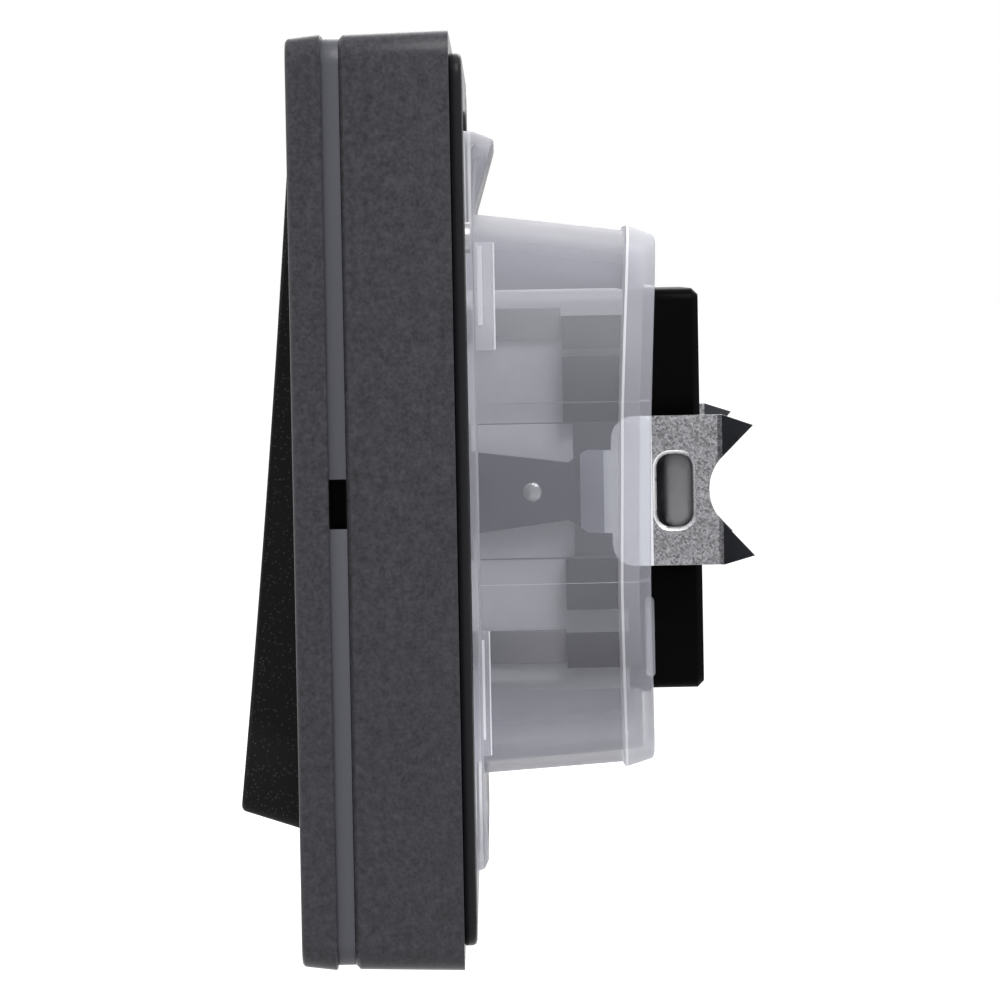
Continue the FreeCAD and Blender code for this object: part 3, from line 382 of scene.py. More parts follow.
def milky_elastomer(name, colour, thick, painted_glow, haze, rim=0.8):
    """Translucent elastomer: one wall lets its contents show, a second hides most of the rest.

    The flange and the part behind the bead are twice as thick, so they are paler. The far wall, seen
    through the near one, has a pale painted glow for the light that scatters in it, and towards the
    foot the colour is painted paler, painted light over the shade inside. The haze is how much one wall
    hides, and the rim is how far it hides what lies beyond it edge on.
    """
    more_haze, second_hides, shadow_share = 0.07, 0.85, 0.4
    values = {"Scale": 120.0, "Contrast": 0.05}
    material, tree, shader = surface_finish(name, colour, 0.5, FILM, values, sheen=0.25)
    path = tree.nodes.new("ShaderNodeLightPath")
    seen = path.outputs["Is Camera Ray"]
    # The ray has come through both faces of the near wall
    beyond = calc(tree, "GREATER_THAN", path.outputs["Transparent Depth"], 1.5)
    second_wall = calc(tree, "MULTIPLY", beyond, seen)
    _, depth, height = place_in_piece(tree)
    drawn = calc(tree, "MULTIPLY", height, calc(tree, "MULTIPLY_ADD", height, BOW, LEAN))
    behind_bead = calc(tree, "GREATER_THAN", calc(tree, "SUBTRACT", depth, drawn), BEAD * MM)
    in_flange = calc(tree, "LESS_THAN", depth, (FLANGE_BACK + 0.02) * MM)
    doubled = calc(tree, "MAXIMUM", behind_bead, in_flange)
    near = mix_colour(tree, doubled, colour_so_far(shader), (*thick, 1.0))
    # Seen through the near wall, the far wall takes a pale painted glow for the light scattered in it
    tone = mix_colour(tree, second_wall, near, (*painted_glow, 1.0))
    # Painted light: the colour grows paler towards the foot, over the shade inside the collar there
    painted_foot_light = remap(tree, height, -17.0 * MM, -24.0 * MM, 1.0, 1.6)
    tree.links.new(mix_colour(tree, 1.0, tone, painted_foot_light, "MULTIPLY"), shader.inputs["Base Color"])
    facing = tree.nodes.new("ShaderNodeLayerWeight")
    edge_on = calc(tree, "POWER", facing.outputs["Facing"], 2.0)
    one_wall = between(tree, doubled, haze, haze + more_haze)
    looked_at = between(tree, second_wall, between(tree, edge_on, one_wall, rim), second_hides)
    tree.links.new(between(tree, seen, haze * shadow_share, looked_at), shader.inputs["Alpha"])
    set_inputs(shader, {"Coat Weight": 0.12, "Coat Roughness": 0.3})
    return material


def claw_zinc_painted_shading():
    """Galvanised claw, speckled head; painted shade on arm and teeth, painted light on neck and root."""
    values = {"Crystal": 5200.0, "Frost": 7500.0, "Contrast": 2.1}
    material, tree, shader = surface_finish(
        "claw_galvanised", (0.25, 0.25, 0.262), 0.4, SPANGLE, values, metal=0.7
    )
    _, depth, _ = place_in_piece(tree)
    # From the arm back: painted shade on the arm, painted reflection on the neck and root, the head's own
    # zinc, painted shade on the teeth
    tone = (0.01, 0.011, 0.02, 1.0)
    for start, colour in (
        (NECK_START, (0.72, 0.75, 0.84, 1.0)), (ROOT_START, (0.8, 0.82, 0.88, 1.0)),
        (HEAD_START, colour_so_far(shader)), (TEETH_START, (0.03, 0.031, 0.036, 1.0)),
    ):
        tone = mix_colour(tree, calc(tree, "GREATER_THAN", depth, start * MM), tone, colour)
    tree.links.new(tone, shader.inputs["Base Color"])
    return material


# By the record's material slots
FINISHES = {
    "anthracite": moulded("anthracite_grain", (0.0345, 0.0335, 0.0405), 0.5, 0.75, 0.3, 0.6),
    "rocker_plastic": rocker_painted_shade(),
    "seal_grey": rubbery("seal_grey", (0.07, 0.071, 0.086), 0.5, 0.05),
    "gasket_black": moulded("gasket_black", (0.006, 0.006, 0.008), 0.6, 0.3, 0.15, 0.8),
    "membrane": rubbery("dark_membrane", (0.02, 0.02, 0.022), 0.65, 0.15),
    # The third colour is the far wall's painted glow
    "collar": milky_elastomer(
        "milky_elastomer", (0.3, 0.3, 0.34), (0.5, 0.5, 0.56), (0.78, 0.78, 0.85), 0.37
    ),
    "housing_black": moulded("black_satin", (0.0014, 0.0014, 0.0018), 0.5, 0.25, 0.02, 0.15),
    "housing_grey": moulded("light_grey_housing", (0.75, 0.75, 0.8), 0.45, 0.06),
    "steel": plated("plated_steel", (0.46, 0.46, 0.48), 0.35, 300.0, 0.12),
    "galvanised": claw_zinc_painted_shading(),
    "screw_steel": plated("screw_steel", (0.5, 0.5, 0.5), 0.28, 500.0, 0.15),
    "brass": plated("brass_strip", (0.62, 0.44, 0.18), 0.3, 400.0, 0.12),
    "spring_steel": plated("spring_steel", (0.45, 0.45, 0.47), 0.25, 400.0, 0.1),
    "silver_plate": plated("silver_contact", (0.66, 0.62, 0.55), 0.3, 400.0, 0.1),
    "lever_plastic": moulded("lever_plastic", (0.55, 0.2, 0.06), 0.35, 0.08),
    "toggle_plastic": moulded("toggle_plastic", (0.55, 0.55, 0.55), 0.4, 0.06),
}
# Pale milky finish painted on thin edges and lines as their highlight
PAINTED_HIGHLIGHT_RIDGE = milky_elastomer("ridge_painted_highlight", (0.9, 0.9, 0.95), (0.9, 0.9, 0.95), (0.8, 0.8, 0.85), 0.6)
CLEAR_CUT = milky_elastomer(
    "clear_cut", (0.3, 0.3, 0.33), (0.3, 0.3, 0.33), (0.3, 0.3, 0.33), 0.02, rim=0.02
)
# Bright metal painted on the claw slot's bevel as its highlight
PAINTED_RIM_HIGHLIGHT = plated("rim_painted_highlight", (0.85, 0.85, 0.86), 0.2, 600.0, 0.1)
WEDGE_STEEL = plated("wedge_steel", (0.17, 0.17, 0.178), 0.38, 400.0, 0.12)


# Modelling helpers


def nothing_selected():
    if bpy.context.object and bpy.context.object.mode != "OBJECT":
        bpy.ops.object.mode_set(mode="OBJECT")
    bpy.ops.object.select_all(action="DESELECT")


def only(piece):
    nothing_selected()
    piece.select_set(True)
    bpy.context.view_layer.objects.active = piece


def edit(piece):
    only(piece)
    bpy.ops.object.mode_set(mode="EDIT")
    bpy.ops.mesh.select_mode(type="VERT")


def settle(piece):
    """Moves a piece's place, turn and size into its mesh."""
    only(piece)
    bpy.ops.object.transform_apply(location=True, rotation=True, scale=True)


def linked(name, data):
    """Puts a new object into the scene: a mesh, a lamp or a camera."""
    thing = bpy.data.objects.new(name, data)
    bpy.context.scene.collection.objects.link(thing)
    return thing


def finish_piece(piece, slot_name, body, replaced=(), smooth=35.0, finish=None):
    """Closes, smooths, dresses and seats a new piece."""
    settle(piece)
    bpy.ops.object.mode_set(mode="EDIT")
    bpy.ops.mesh.select_all(action="SELECT")
    bpy.ops.mesh.remove_doubles(threshold=WELD)
    bpy.ops.mesh.normals_make_consistent(inside=False)
    bpy.ops.object.mode_set(mode="OBJECT")
    bpy.ops.object.shade_smooth_by_angle(angle=math.radians(smooth))
    piece.data.materials.clear()
    piece.data.materials.append(finish or FINISHES[slot_name])
    if body:
        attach(piece, body)
    if replaced:
        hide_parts(*replaced)
    return piece


def add_modifier(piece, name, kind, **settings):
    only(piece)
    modifier = piece.modifiers.new(name, kind)
    for label, value in settings.items():
        setattr(modifier, label, value)
    bpy.ops.object.modifier_apply(modifier=name)


def break_edges(piece, width, segments=2, **settings):
    """Rounds a piece's edges by a width in millimetres."""
    add_modifier(piece, "broken_edges", "BEVEL", width=width * MM, segments=segments, **settings)


def block(name, low, high):
    """Starts a piece from a block between two corners."""
    nothing_selected()
    low, high = Vector(low) * MM, Vector(high) * MM
    bpy.ops.mesh.primitive_cube_add(size=1.0, location=(low + high) / 2, scale=high - low)
    piece = bpy.context.object
    piece.name = name
    settle(piece)
    return piece


def side_block(name, sign, low, high):
    """A block on the right (1) or left (-1), from the corners it has on the right."""
    first, last = sorted((low[0] * sign, high[0] * sign))
    return block(name, (first, *low[1:]), (last, *high[1:]))


def cut(point, normal, **settings):
    """Cuts the whole mesh that is being edited with a plane."""
    bpy.ops.mesh.select_all(action="SELECT")
    bpy.ops.mesh.bisect(plane_co=point, plane_no=normal, **settings)


def pick_faces(piece, wanted):
    """Selects only the faces that a test wants, in the piece that is being edited."""
    bpy.ops.mesh.select_all(action="DESELECT")
    bpy.ops.mesh.select_mode(type="FACE")
    mesh = bmesh.from_edit_mesh(piece.data)
    for face in mesh.faces:
        face.select = wanted(face)
    bmesh.update_edit_mesh(piece.data)


def push_faces(*shift):
    """Extrudes the selected faces by a shift, and ends the editing."""
    bpy.ops.mesh.extrude_region_move(TRANSFORM_OT_translate={"value": tuple(Vector(shift) * MM)})
    bpy.ops.mesh.select_mode(type="VERT")
    bpy.ops.object.mode_set(mode="OBJECT")


def join_into(piece, others):
    """Joins other meshes into a piece."""
    nothing_selected()
    for other in (*others, piece):
        other.select_set(True)
    bpy.context.view_layer.objects.active = piece
    bpy.ops.object.join()


def outline(piece, depth, half_x, half_z, corner, height=0.0, steps=8):
    """Adds one rounded rectangle of edges at a depth; returns its vertices' numbers in turn."""
    bpy.ops.mesh.select_all(action="DESELECT")
    before = len(bmesh.from_edit_mesh(piece.data).verts)
    place = (0.0, depth * MM, height * MM)
    bpy.ops.mesh.primitive_plane_add(size=2.0, location=place, rotation=(math.pi / 2, 0, 0))
    bpy.ops.transform.resize(value=(half_x * MM, 1.0, half_z * MM), center_override=place)
    bpy.ops.mesh.bevel(offset=corner * MM, offset_type="OFFSET", segments=steps, affect="VERTICES")
    bpy.ops.mesh.delete(type="ONLY_FACE")
    mesh = bmesh.from_edit_mesh(piece.data)
    mesh.verts.ensure_lookup_table()
    fresh = sorted(mesh.verts[before:], key=lambda vert: math.atan2(vert.co.z - height * MM, vert.co.x))
    return [vert.index for vert in fresh]


def join_outlines(piece, first, second):
    """Joins two outlines with a band of faces, corner to corner so that no band is twisted."""
    mesh = bmesh.from_edit_mesh(piece.data)
    mesh.verts.ensure_lookup_table()
    pairs = list(zip(first, second))
    for here, ahead in zip(pairs, pairs[1:] + pairs[:1]):
        mesh.faces.new([mesh.verts[number] for number in (*here, *reversed(ahead))])
    bmesh.update_edit_mesh(piece.data)


def ring_piece(name, sections, steps=8, closed=True):
    """A moulded ring: rounded outlines that follow its cross-section, each joined to the next.

    A section is a depth, a half width, a half height, a corner's radius and, where it isn't 0, the
    height of its middle. Returns the piece, still being edited, and its outlines.
    """
    piece = block(name, (-1, -1, -1), (1, 1, 1))
    edit(piece)
    bpy.ops.mesh.select_all(action="SELECT")
    bpy.ops.mesh.delete(type="VERT")
    loops = [outline(piece, *section, steps=steps) for section in sections]
    for first, second in zip(loops, loops[1:]):
        join_outlines(piece, first, second)
    if closed:
        join_outlines(piece, loops[-1], loops[0])
    return piece, loops


def rounding(depth, half, corner, radius, outward=1.0, steps=4):
    """Sections that carry a wall round a front edge of the given radius."""
    sections = []
    for step in range(steps + 1):
        angle = math.pi / 2 * step / steps
        back = radius * (1.0 - math.sin(angle))
        inset = radius * (1.0 - math.cos(angle)) * outward
        sections.append((depth + back, half - inset, half - inset, max(corner - inset, 0.2)))
    return sections


def share_between(value, start, end):
    """How far a value has come from a start to an end, from 0 to 1."""
    return min(max((value - start) / (end - start), 0.0), 1.0)


def softened(node, width, finish=None):
    """A finer copy of a hard part: its edges are broken as a tool or a mould leaves them."""
    piece = linked(node + "_finished", NODES[node].data.copy())
    edit(piece)
    bpy.ops.mesh.select_all(action="SELECT")
    bpy.ops.mesh.remove_doubles(threshold=COPY_WELD)
    bpy.ops.mesh.tris_convert_to_quads(
        face_threshold=math.radians(1.0), shape_threshold=math.radians(180.0)
    )
    bpy.ops.object.mode_set(mode="OBJECT")
    break_edges(piece, width, limit_method="ANGLE", angle_limit=math.radians(40.0))
    return finish_piece(piece, SLOT_OF[node], BODY_OF[node], (node,), finish=finish)


def turned_copies(piece, count):
    """A piece and its copies about the depth axis, each with its own mesh."""
    copies = [piece]
    for turn in range(1, count):
        copy = linked("%s_%d" % (piece.name, turn + 1), piece.data.copy())
        copy.rotation_euler = (0.0, 2.0 * math.pi * turn / count, 0.0)
        settle(copy)
        copies.append(copy)
    return copies


# Frames and seals


def make_front_frame():
    """Removable front frame with a soft front edge and four clip legs."""
    edge = 0.12
    sections = [
        (SEAL_FRONT, FRAME_REAR_HALF - edge, FRAME_REAR_HALF - edge, 2.3),
        (SEAL_FRONT - edge, FRAME_REAR_HALF, FRAME_REAR_HALF, 2.4),
    ]
    sections += rounding(FACE, FACE_HALF, 2.4, 0.5)
    sections += rounding(FACE, OPENING, 2.0, 0.3, outward=-1.0)[::-1]
    sections.append((SEAL_FRONT, OPENING, OPENING, 2.0))
    ring, _ = ring_piece("front_frame_ring", sections)
    finish_piece(ring, "anthracite", "housing", ("front_frame",))
    hook_start = -9.25
    leg = block("clip_leg", (-4.5, SEAL_FRONT, 36.0), (4.5, -7.75, 37.4))
    edit(leg)
    cut((0, hook_start * MM, 0), (0, 1, 0))
    pick_faces(leg, lambda face: face.normal.z > 0.9 and face.calc_center_median().y > hook_start * MM)
    push_faces(0, 0, 0.9)
    break_edges(leg, 0.2)
    for piece in turned_copies(leg, 4):
        finish_piece(piece, "anthracite", "housing")


def make_pry_pockets():
    """Pocket in the groove on each side, where a blade lifts the front frame, lined black as painted shade.
    """
    for side, sign in SIDES:
        pocket = side_block("pry_pocket_" + side, sign, (40.05, -12.95, -2.28), (42.75, -11.4, 2.28))
        edit(pocket)
        pick_faces(pocket, lambda face: face.normal.x * sign > 0.9)
        bpy.ops.mesh.inset(thickness=0.1 * MM)
        push_faces(-2.5 * sign, 0, 0)
        # The black finish paints the shade inside the notch
        finish_piece(pocket, "gasket_black", "housing", finish=FINISHES["housing_black"])


def make_wall_gasket():
    """Flat gasket with a sealing bead along the middle of its wall side."""
    profile = (
        (GASKET_FRONT, 41.3, 2.3), (-1.1, 41.45, 2.4), (-0.45, 41.45, 2.4), (-0.16, 41.3, 2.3),
        (-0.04, 40.95, 2.2), (-0.12, 40.6, 2.1), (-0.22, 40.3, 2.1), (-0.1, 40.0, 2.1),
        (0.0, 39.7, 2.1), (-0.1, 39.4, 2.1), (-0.22, 39.1, 2.1), (-0.12, 38.8, 2.1),
        (-0.04, 38.4, 2.1), (-0.2, 38.05, 2.1), (-0.5, 38.0, 2.1), (GASKET_FRONT, 38.0, 2.1),
    )
    sections = [(depth, half, half, corner) for depth, half, corner in profile]
    ring, _ = ring_piece("wall_gasket_bead", sections)
    finish_piece(ring, "gasket_black", "housing", ("wall_gasket",), smooth=60.0)


# Rocker


def make_rocker_cap():
    """Flared cap with rounded edges and a shallow dish across its face."""
    wall, edge, dish = 1.7, 0.15, 0.25
    rear = ROCKER_FRONT + (ROCKER_RIM - ROCKER_FACE) * ROCKER_FLARE
    sections = [
        (ROCKER_FACE + dish + wall, ROCKER_FRONT - wall, ROCKER_FRONT - wall, 1.2),
        (ROCKER_RIM, rear - wall, rear - wall, 1.2),
        (ROCKER_RIM, rear - edge, rear - edge, 1.5),
        (ROCKER_RIM - edge, rear, rear, 1.6),
    ]
    for depth, half_x, half_z, corner in rounding(ROCKER_FACE, ROCKER_FRONT, 1.2, 0.45, steps=5):
        flare = (depth - ROCKER_FACE) * ROCKER_FLARE
        sections.append((depth, half_x + flare, half_z + flare, corner))
    cap, loops = ring_piece("rocker_cap", sections, closed=False)
    for loop in (loops[0], loops[-1]):
        bpy.ops.mesh.select_all(action="DESELECT")
        mesh = bmesh.from_edit_mesh(cap.data)
        mesh.verts.ensure_lookup_table()
        for number in loop:
            mesh.verts[number].select = True
        mesh.select_flush_mode()
        bpy.ops.mesh.edge_face_add()
    for strip in range(-9, 10):
        cut((0, 0, strip * 3.0 * MM), (0, 0, 1))
    mesh = bmesh.from_edit_mesh(cap.data)
    for vert in mesh.verts:
        if vert.co.y < (ROCKER_FACE + 0.4) * MM:
            share = max(0.0, 1.0 - (vert.co.z / (ROCKER_FRONT * MM)) ** 2)
            vert.co.y += dish * MM * share
    bmesh.update_edit_mesh(cap.data)
    bpy.ops.object.mode_set(mode="OBJECT")
    catches = []
    for side in (-1, 1):
        low, high = sorted((12.98 * side, 14.42 * side))
        catches.append(block("rocker_catch", (-6.0, -8.6, low), (6.0, -4.95, high)))
        break_edges(catches[-1], 0.25)
    join_into(cap, catches)
    cap.location = PIVOT * MM
    cap.rotation_euler = (-ROCKER_LEAN, 0.0, 0.0)
    finish_piece(cap, "rocker_plastic", "rocker", ("rocker",))


def make_toggle_coil():
    """Round wire wound between the toggle's stem and the plunger."""
    wire, radius, turns = 0.2 * MM, 1.55 * MM, 3
    first, last = -4.78 * MM, -0.72 * MM
    nothing_selected()
    bpy.ops.mesh.primitive_circle_add(
        vertices=12, radius=wire, location=(radius, 0, 0), rotation=(math.pi / 2, 0, 0)
    )
    coil = bpy.context.object
    coil.name = "toggle_coil"
    settle(coil)
    add_modifier(
        coil, "winding", "SCREW", angle=2.0 * math.pi, screw_offset=(last - first) / turns,
        iterations=turns, steps=28, render_steps=28, axis="Z",
    )
    edit(coil)
    bpy.ops.mesh.select_all(action="SELECT")
    bpy.ops.mesh.fill_holes(sides=0)
    bpy.ops.object.mode_set(mode="OBJECT")
    leaning = Matrix.Translation(PIVOT * MM) @ Matrix.Rotation(-ROCKER_LEAN, 4, "X")
    along_stem = Matrix.Rotation(-math.pi / 2, 4, "X")
    coil.matrix_world = leaning @ Matrix.Translation((0, first, 0)) @ along_stem
    finish_piece(coil, "spring_steel", None, ("toggle_spring",))
    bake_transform(coil)


# Sealing collar


def wall_at(depth):
    """Half width of the collar's outer wall at a depth, without its bead."""
    if depth <= BEAD:
        return WALL_FOOT + (WALL_AT_BEAD - WALL_FOOT) * (depth - FLANGE_FRONT) / (BEAD - FLANGE_FRONT)
    return WALL_AT_BEAD + (WALL_REAR - WALL_AT_BEAD) * (depth - BEAD_REAR) / (WALL_END - BEAD_REAR)


def sag(depth):
    """Height of the soft wall's middle: it hangs a little lower towards the rear."""
    return -0.5 - 0.04 * depth


def curl(height):
    """How far the flange's lip curls back at a height: most at the top corners, hardly along the sides."""
    if height > 0.0:
        return 0.12 + 1.4 * share_between(height, 26.7, 34.3)
    return 0.12 + 0.2 * share_between(-height, 25.2, 32.4)


def make_flange():
    """Flange of the collar with its curled lip."""
    profile = (
        (FLANGE_FRONT, 35.6, 8.0), (0.3, 35.6, 8.0), (0.9, 35.45, 8.0), (1.6, 35.05, 8.0),
        (2.1, 34.75, 8.0), (2.2, 34.55, 8.0), (2.1, 34.3, 8.0), (1.5, 34.35, 8.0),
        (0.9, 34.3, 8.0), (0.65, 34.0, 8.0), (FLANGE_BACK, 33.6, 8.0), (FLANGE_BACK, 28.4, 17.6),
        (FLANGE_BACK, 26.2, 16.4), (FLANGE_FRONT, 26.3, 16.4),
    )
    sections = []
    for depth, half, corner in profile:
        # Outside the wall's foot the flange is a little less high than wide
        half_z = half - FLANGE_DROP if half > 30.0 else half
        sections.append((depth, half, half_z, corner, -FLANGE_DROP))
    flange, _ = ring_piece("collar_flange", sections, steps=12)
    mesh = bmesh.from_edit_mesh(flange.data)
    for vert in mesh.verts:
        if vert.co.y > (FLANGE_BACK + 0.02) * MM:
            vert.co.y = FLANGE_BACK * MM + (vert.co.y - FLANGE_BACK * MM) * curl(vert.co.z / MM)
    bmesh.update_edit_mesh(flange.data)
    finish_piece(flange, "collar", "housing", ("sealing_collar",), smooth=50.0)


def wall_ring():
    """Tapered wall with its bead and rear lip, all the way round."""
    outer = (
        (FLANGE_BACK, 0.0), (2.0, 0.0), (5.0, 0.0), (8.0, 0.0), (11.0, 0.0), (13.95, 0.0), (BEAD, 0.25),
        (14.2, 0.3), (14.45, 0.3), (15.5, 0.28), (16.8, 0.22), (17.0, 0.1), (17.1, -0.15),
    )
    sections = []
    for depth, out in outer:
        half = wall_at(depth) + out
        sections.append((depth, half, half, 17.5 + out, sag(depth)))
    for depth in (17.1, 16.0):
        sections.append((depth, 19.3, 19.55, 1.0, 0.0))
    for depth in (16.0, 11.0, 8.0, 5.0, 2.0, FLANGE_BACK):
        half = wall_at(depth) - WALL_THICK
        sections.append((depth, half, half, 16.4, sag(depth)))
    return ring_piece("collar_wall", sections, steps=12)[0]


def keep_between(piece, low=None, high=None, side=None):
    """Keeps the wall between two heights and closes those cuts; a side is the half in X that stays."""
    edit(piece)
    for height, sign in ((low, -1), (high, 1)):
        if height is not None:
            cut((0, 0, height * MM), (0, 0, sign), clear_outer=True)
            bpy.ops.mesh.fill(use_beauty=False)
    if side is not None:
        cut((0, 0, 0), (-side, 0, 0), clear_outer=True)
    bpy.ops.object.mode_set(mode="OBJECT")


def painted_highlight_edge(piece):
    """The bead's front edge is pale, a painted highlight for the light it gathers; the cuts stay clear."""
    piece.data.materials.append(PAINTED_HIGHLIGHT_RIDGE)
    piece.data.materials.append(CLEAR_CUT)
    highlight_index, cut_index = 1, 2
    for face in piece.data.polygons:
        on_edge = 13.95 * MM < face.center.y < 14.45 * MM
        outside = max(abs(face.center.x), abs(face.center.z)) > 18.0 * MM
        at_cut = abs(abs(face.center.z) - CHEEK_HALF * MM) < 0.05 * MM
        if abs(face.normal.z) > 0.99 and at_cut:
            face.material_index = cut_index
        elif on_edge and outside and face.normal.y < 0.5:
            face.material_index = highlight_index


def make_collar_walls():
    """The collar's wall in four: upper and lower wall, and the cheeks beside the claws."""
    wall = wall_ring()
    nothing_selected()
    names = ("collar_wall_upper", "collar_wall_lower", "collar_cheek_right", "collar_cheek_left")
    parts = {name: linked(name, wall.data.copy()) for name in names}
    bpy.data.objects.remove(wall)
    keep_between(parts["collar_wall_upper"], low=CHEEK_HALF)
    keep_between(parts["collar_wall_lower"], high=-CHEEK_HALF)
    for side, sign in SIDES:
        keep_between(parts["collar_cheek_" + side], low=-CHEEK_HALF, high=CHEEK_HALF, side=sign)
    for name, part in parts.items():
        finish_piece(part, "collar", None if "cheek" in name else "housing", smooth=50.0)
        painted_highlight_edge(part)
        for vert in part.data.vertices:
            share = share_between(vert.co.y / MM, FLANGE_BACK, 14.0)
            vert.co.y += (LEAN + BOW * vert.co.z) * vert.co.z * share
    for side, sign in SIDES:
        cheek = parts["collar_cheek_" + side]
        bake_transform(cheek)


def make_collar_details():
    """Rear tabs, and on each side by the flange a fin above and below, its rib and line in painted highlight.
    """
    for name, low, high, edge, finish in (
        ("collar_tab", (19.95, 16.5, -18.0), (21.05, 17.4, -10.3), 0.4, None),
        ("collar_fin_upper", (27.3, 0.5, 13.7), (27.8, 2.5, 24.0), 0.12, None),
        ("collar_fin_lower", (27.3, 0.5, -24.8), (27.8, 1.5, -12.8), 0.12, None),
        ("collar_rib_upper", (27.75, 0.95, 16.1), (28.0, 1.45, 23.6), 0.08, PAINTED_HIGHLIGHT_RIDGE),
        ("collar_rib_lower", (27.75, 0.55, -23.2), (28.0, 1.05, -13.7), 0.08, PAINTED_HIGHLIGHT_RIDGE),
        ("collar_line_upper", (27.35, 2.45, 13.8), (27.75, 2.65, 23.9), 0.06, PAINTED_HIGHLIGHT_RIDGE),
        ("collar_line_lower", (27.35, 1.45, -24.7), (27.75, 1.6, -12.9), 0.05, PAINTED_HIGHLIGHT_RIDGE),
    ):
        for side, sign in SIDES:
            piece = side_block("%s_%s" % (name, side), sign, low, high)
            break_edges(piece, edge, segments=3)
            finish_piece(piece, "collar", "housing", smooth=50.0, finish=finish)


def make_insert_flanks():
    """Dark strips on the flank, painted shade; pale sheets in the claw channels, painted light, clear of the
    wedge.
    """
    for side, sign in SIDES:
        for name, low, high, edge, slot_name, finish in (
            # Painted shade: the dark steel strips; painted light: the pale sheets over the shaded channel
            ("ring_leg_upper_", (19.02, -0.25, 14.5), (19.6, 8.9, 17.6), 0.15, "steel", WEDGE_STEEL),
            ("ring_leg_lower_", (19.02, -0.25, -16.6), (19.6, 8.9, -13.4), 0.15, "steel", WEDGE_STEEL),
            ("channel_film_", (18.95, 0.1, -6.45), (19.2, 9.9, 6.45), 0.08, "housing_grey", None),
            ("channel_liner_", (12.55, 9.0, -6.45), (12.8, 14.9, 6.45), 0.08, "housing_grey", None),
        ):
            piece = side_block(name + side, sign, low, high)
            break_edges(piece, edge)
            finish_piece(piece, slot_name, "housing", finish=finish)


# Claws and their screws


def make_claws():
    """Claws with a painted highlight on the bevel round the slot and an embossed stiffening dot on the arm.
    """
    slot_start, slot_end, slot_half, head_inside = 17.2 * MM, 21.75 * MM, 4.0 * MM, 23.3 * MM
    rim_index = 1
    for side, sign in reversed(SIDES):
        claw = softened("claw_" + side, 0.12)
        claw.data.materials.append(PAINTED_RIM_HIGHLIGHT)
        for face in claw.data.polygons:
            at_slot = slot_start < face.center.y < slot_end and abs(face.center.z) < slot_half
            if at_slot and 0.15 < abs(face.normal.x) < 0.97 and face.center.x * sign > head_inside:
                face.material_index = rim_index
        nothing_selected()
        place = (21.2 * sign * MM, 5.9 * MM, 0.0)
        bpy.ops.mesh.primitive_uv_sphere_add(segments=32, ring_count=20, radius=0.95 * MM, location=place)
        dot = bpy.context.object
        dot.name = "claw_dot_" + side
        settle(dot)
        edit(dot)
        bpy.ops.mesh.select_all(action="SELECT")
        bpy.ops.transform.resize(value=(0.4, 1.0, 1.0), center_override=place)
        bpy.ops.object.mode_set(mode="OBJECT")
        finish_piece(dot, "galvanised", "claw_" + side, finish=FINISHES["steel"])


def wound_thread(name):
    """A rolled thread wound along +Z, with no face at its root."""
    nothing_selected()
    bpy.ops.mesh.primitive_plane_add(size=1.0)
    thread = bpy.context.object
    thread.name = name
    edit(thread)
    bpy.ops.mesh.select_all(action="SELECT")
    bpy.ops.mesh.delete(type="ONLY_FACE")
    mesh = bmesh.from_edit_mesh(thread.data)
    mesh.verts.ensure_lookup_table()
    loop = [mesh.verts[number] for number in (0, 1, 3, 2)]
    profile = ((THREAD_ROOT, 0.0), (THREAD_CREST, 0.4), (THREAD_CREST, 0.55), (THREAD_ROOT, 0.95))
    for vert, (radius, share) in zip(loop, profile):
        vert.co = Vector((radius * MM, 0.0, THREAD_PITCH * MM * share))
    root_edge = [edge for edge in mesh.edges if set(edge.verts) == {loop[0], loop[3]}]
    bmesh.ops.delete(mesh, geom=root_edge, context="EDGES")
    bmesh.update_edit_mesh(thread.data)
    bpy.ops.object.mode_set(mode="OBJECT")
    add_modifier(
        thread, "winding", "SCREW", angle=2.0 * math.pi, screw_offset=THREAD_PITCH * MM,
        iterations=THREAD_TURNS, steps=20, render_steps=20, axis="Z",
        use_merge_vertices=True, merge_threshold=COPY_WELD,
    )
    return thread


def rod(vertices, radius, length, middle):
    """Starts a round piece along Z, with its middle at a height."""
    nothing_selected()
    bpy.ops.mesh.primitive_cylinder_add(
        vertices=vertices, radius=radius * MM, depth=length * MM, location=(0, 0, middle * MM)
    )
    return bpy.context.object


def slotted_head():
    """Round screw head with a driver slot across its lower end."""
    head = rod(vertices=40, radius=2.4, length=2.2, middle=-1.4)
    edit(head)
    for slot_side in (-SLOT_HALF, SLOT_HALF):
        cut((0, slot_side * MM, 0), (0, 1, 0))
    pick_faces(
        head, lambda face: face.normal.z < -0.9 and abs(face.calc_center_median().y) < SLOT_HALF * MM
    )
    push_faces(0, 0, SLOT_DEEP)
    break_edges(head, 0.18, limit_method="ANGLE")
    return head


def make_claw_screws():
    """Slotted claw screws: a rolled thread on a core and a round head, turned to lie along the depth."""
    for side, sign in reversed(SIDES):
        thread = wound_thread("claw_screw_%s_threaded" % side)
        core = rod(vertices=32, radius=THREAD_ROOT * 1.01, length=22.6, middle=11.2)
        join_into(thread, (core, slotted_head()))
        thread.rotation_euler = (-math.pi / 2, 0.0, 0.0)
        thread.location = (SCREW_AT * sign * MM, -0.3 * MM, 0.0)
        finish_piece(thread, "screw_steel", "screw_" + side, ("claw_screw_" + side,))


# Stage


def ray_is_seen(tree):
    """1 for a ray from the camera, or one that metal or glass sends on."""
    path = tree.nodes.new("ShaderNodeLightPath")
    seen = calc(tree, "MAXIMUM", path.outputs["Is Camera Ray"], path.outputs["Is Glossy Ray"])
    return calc(tree, "MAXIMUM", seen, path.outputs["Is Transmission Ray"])


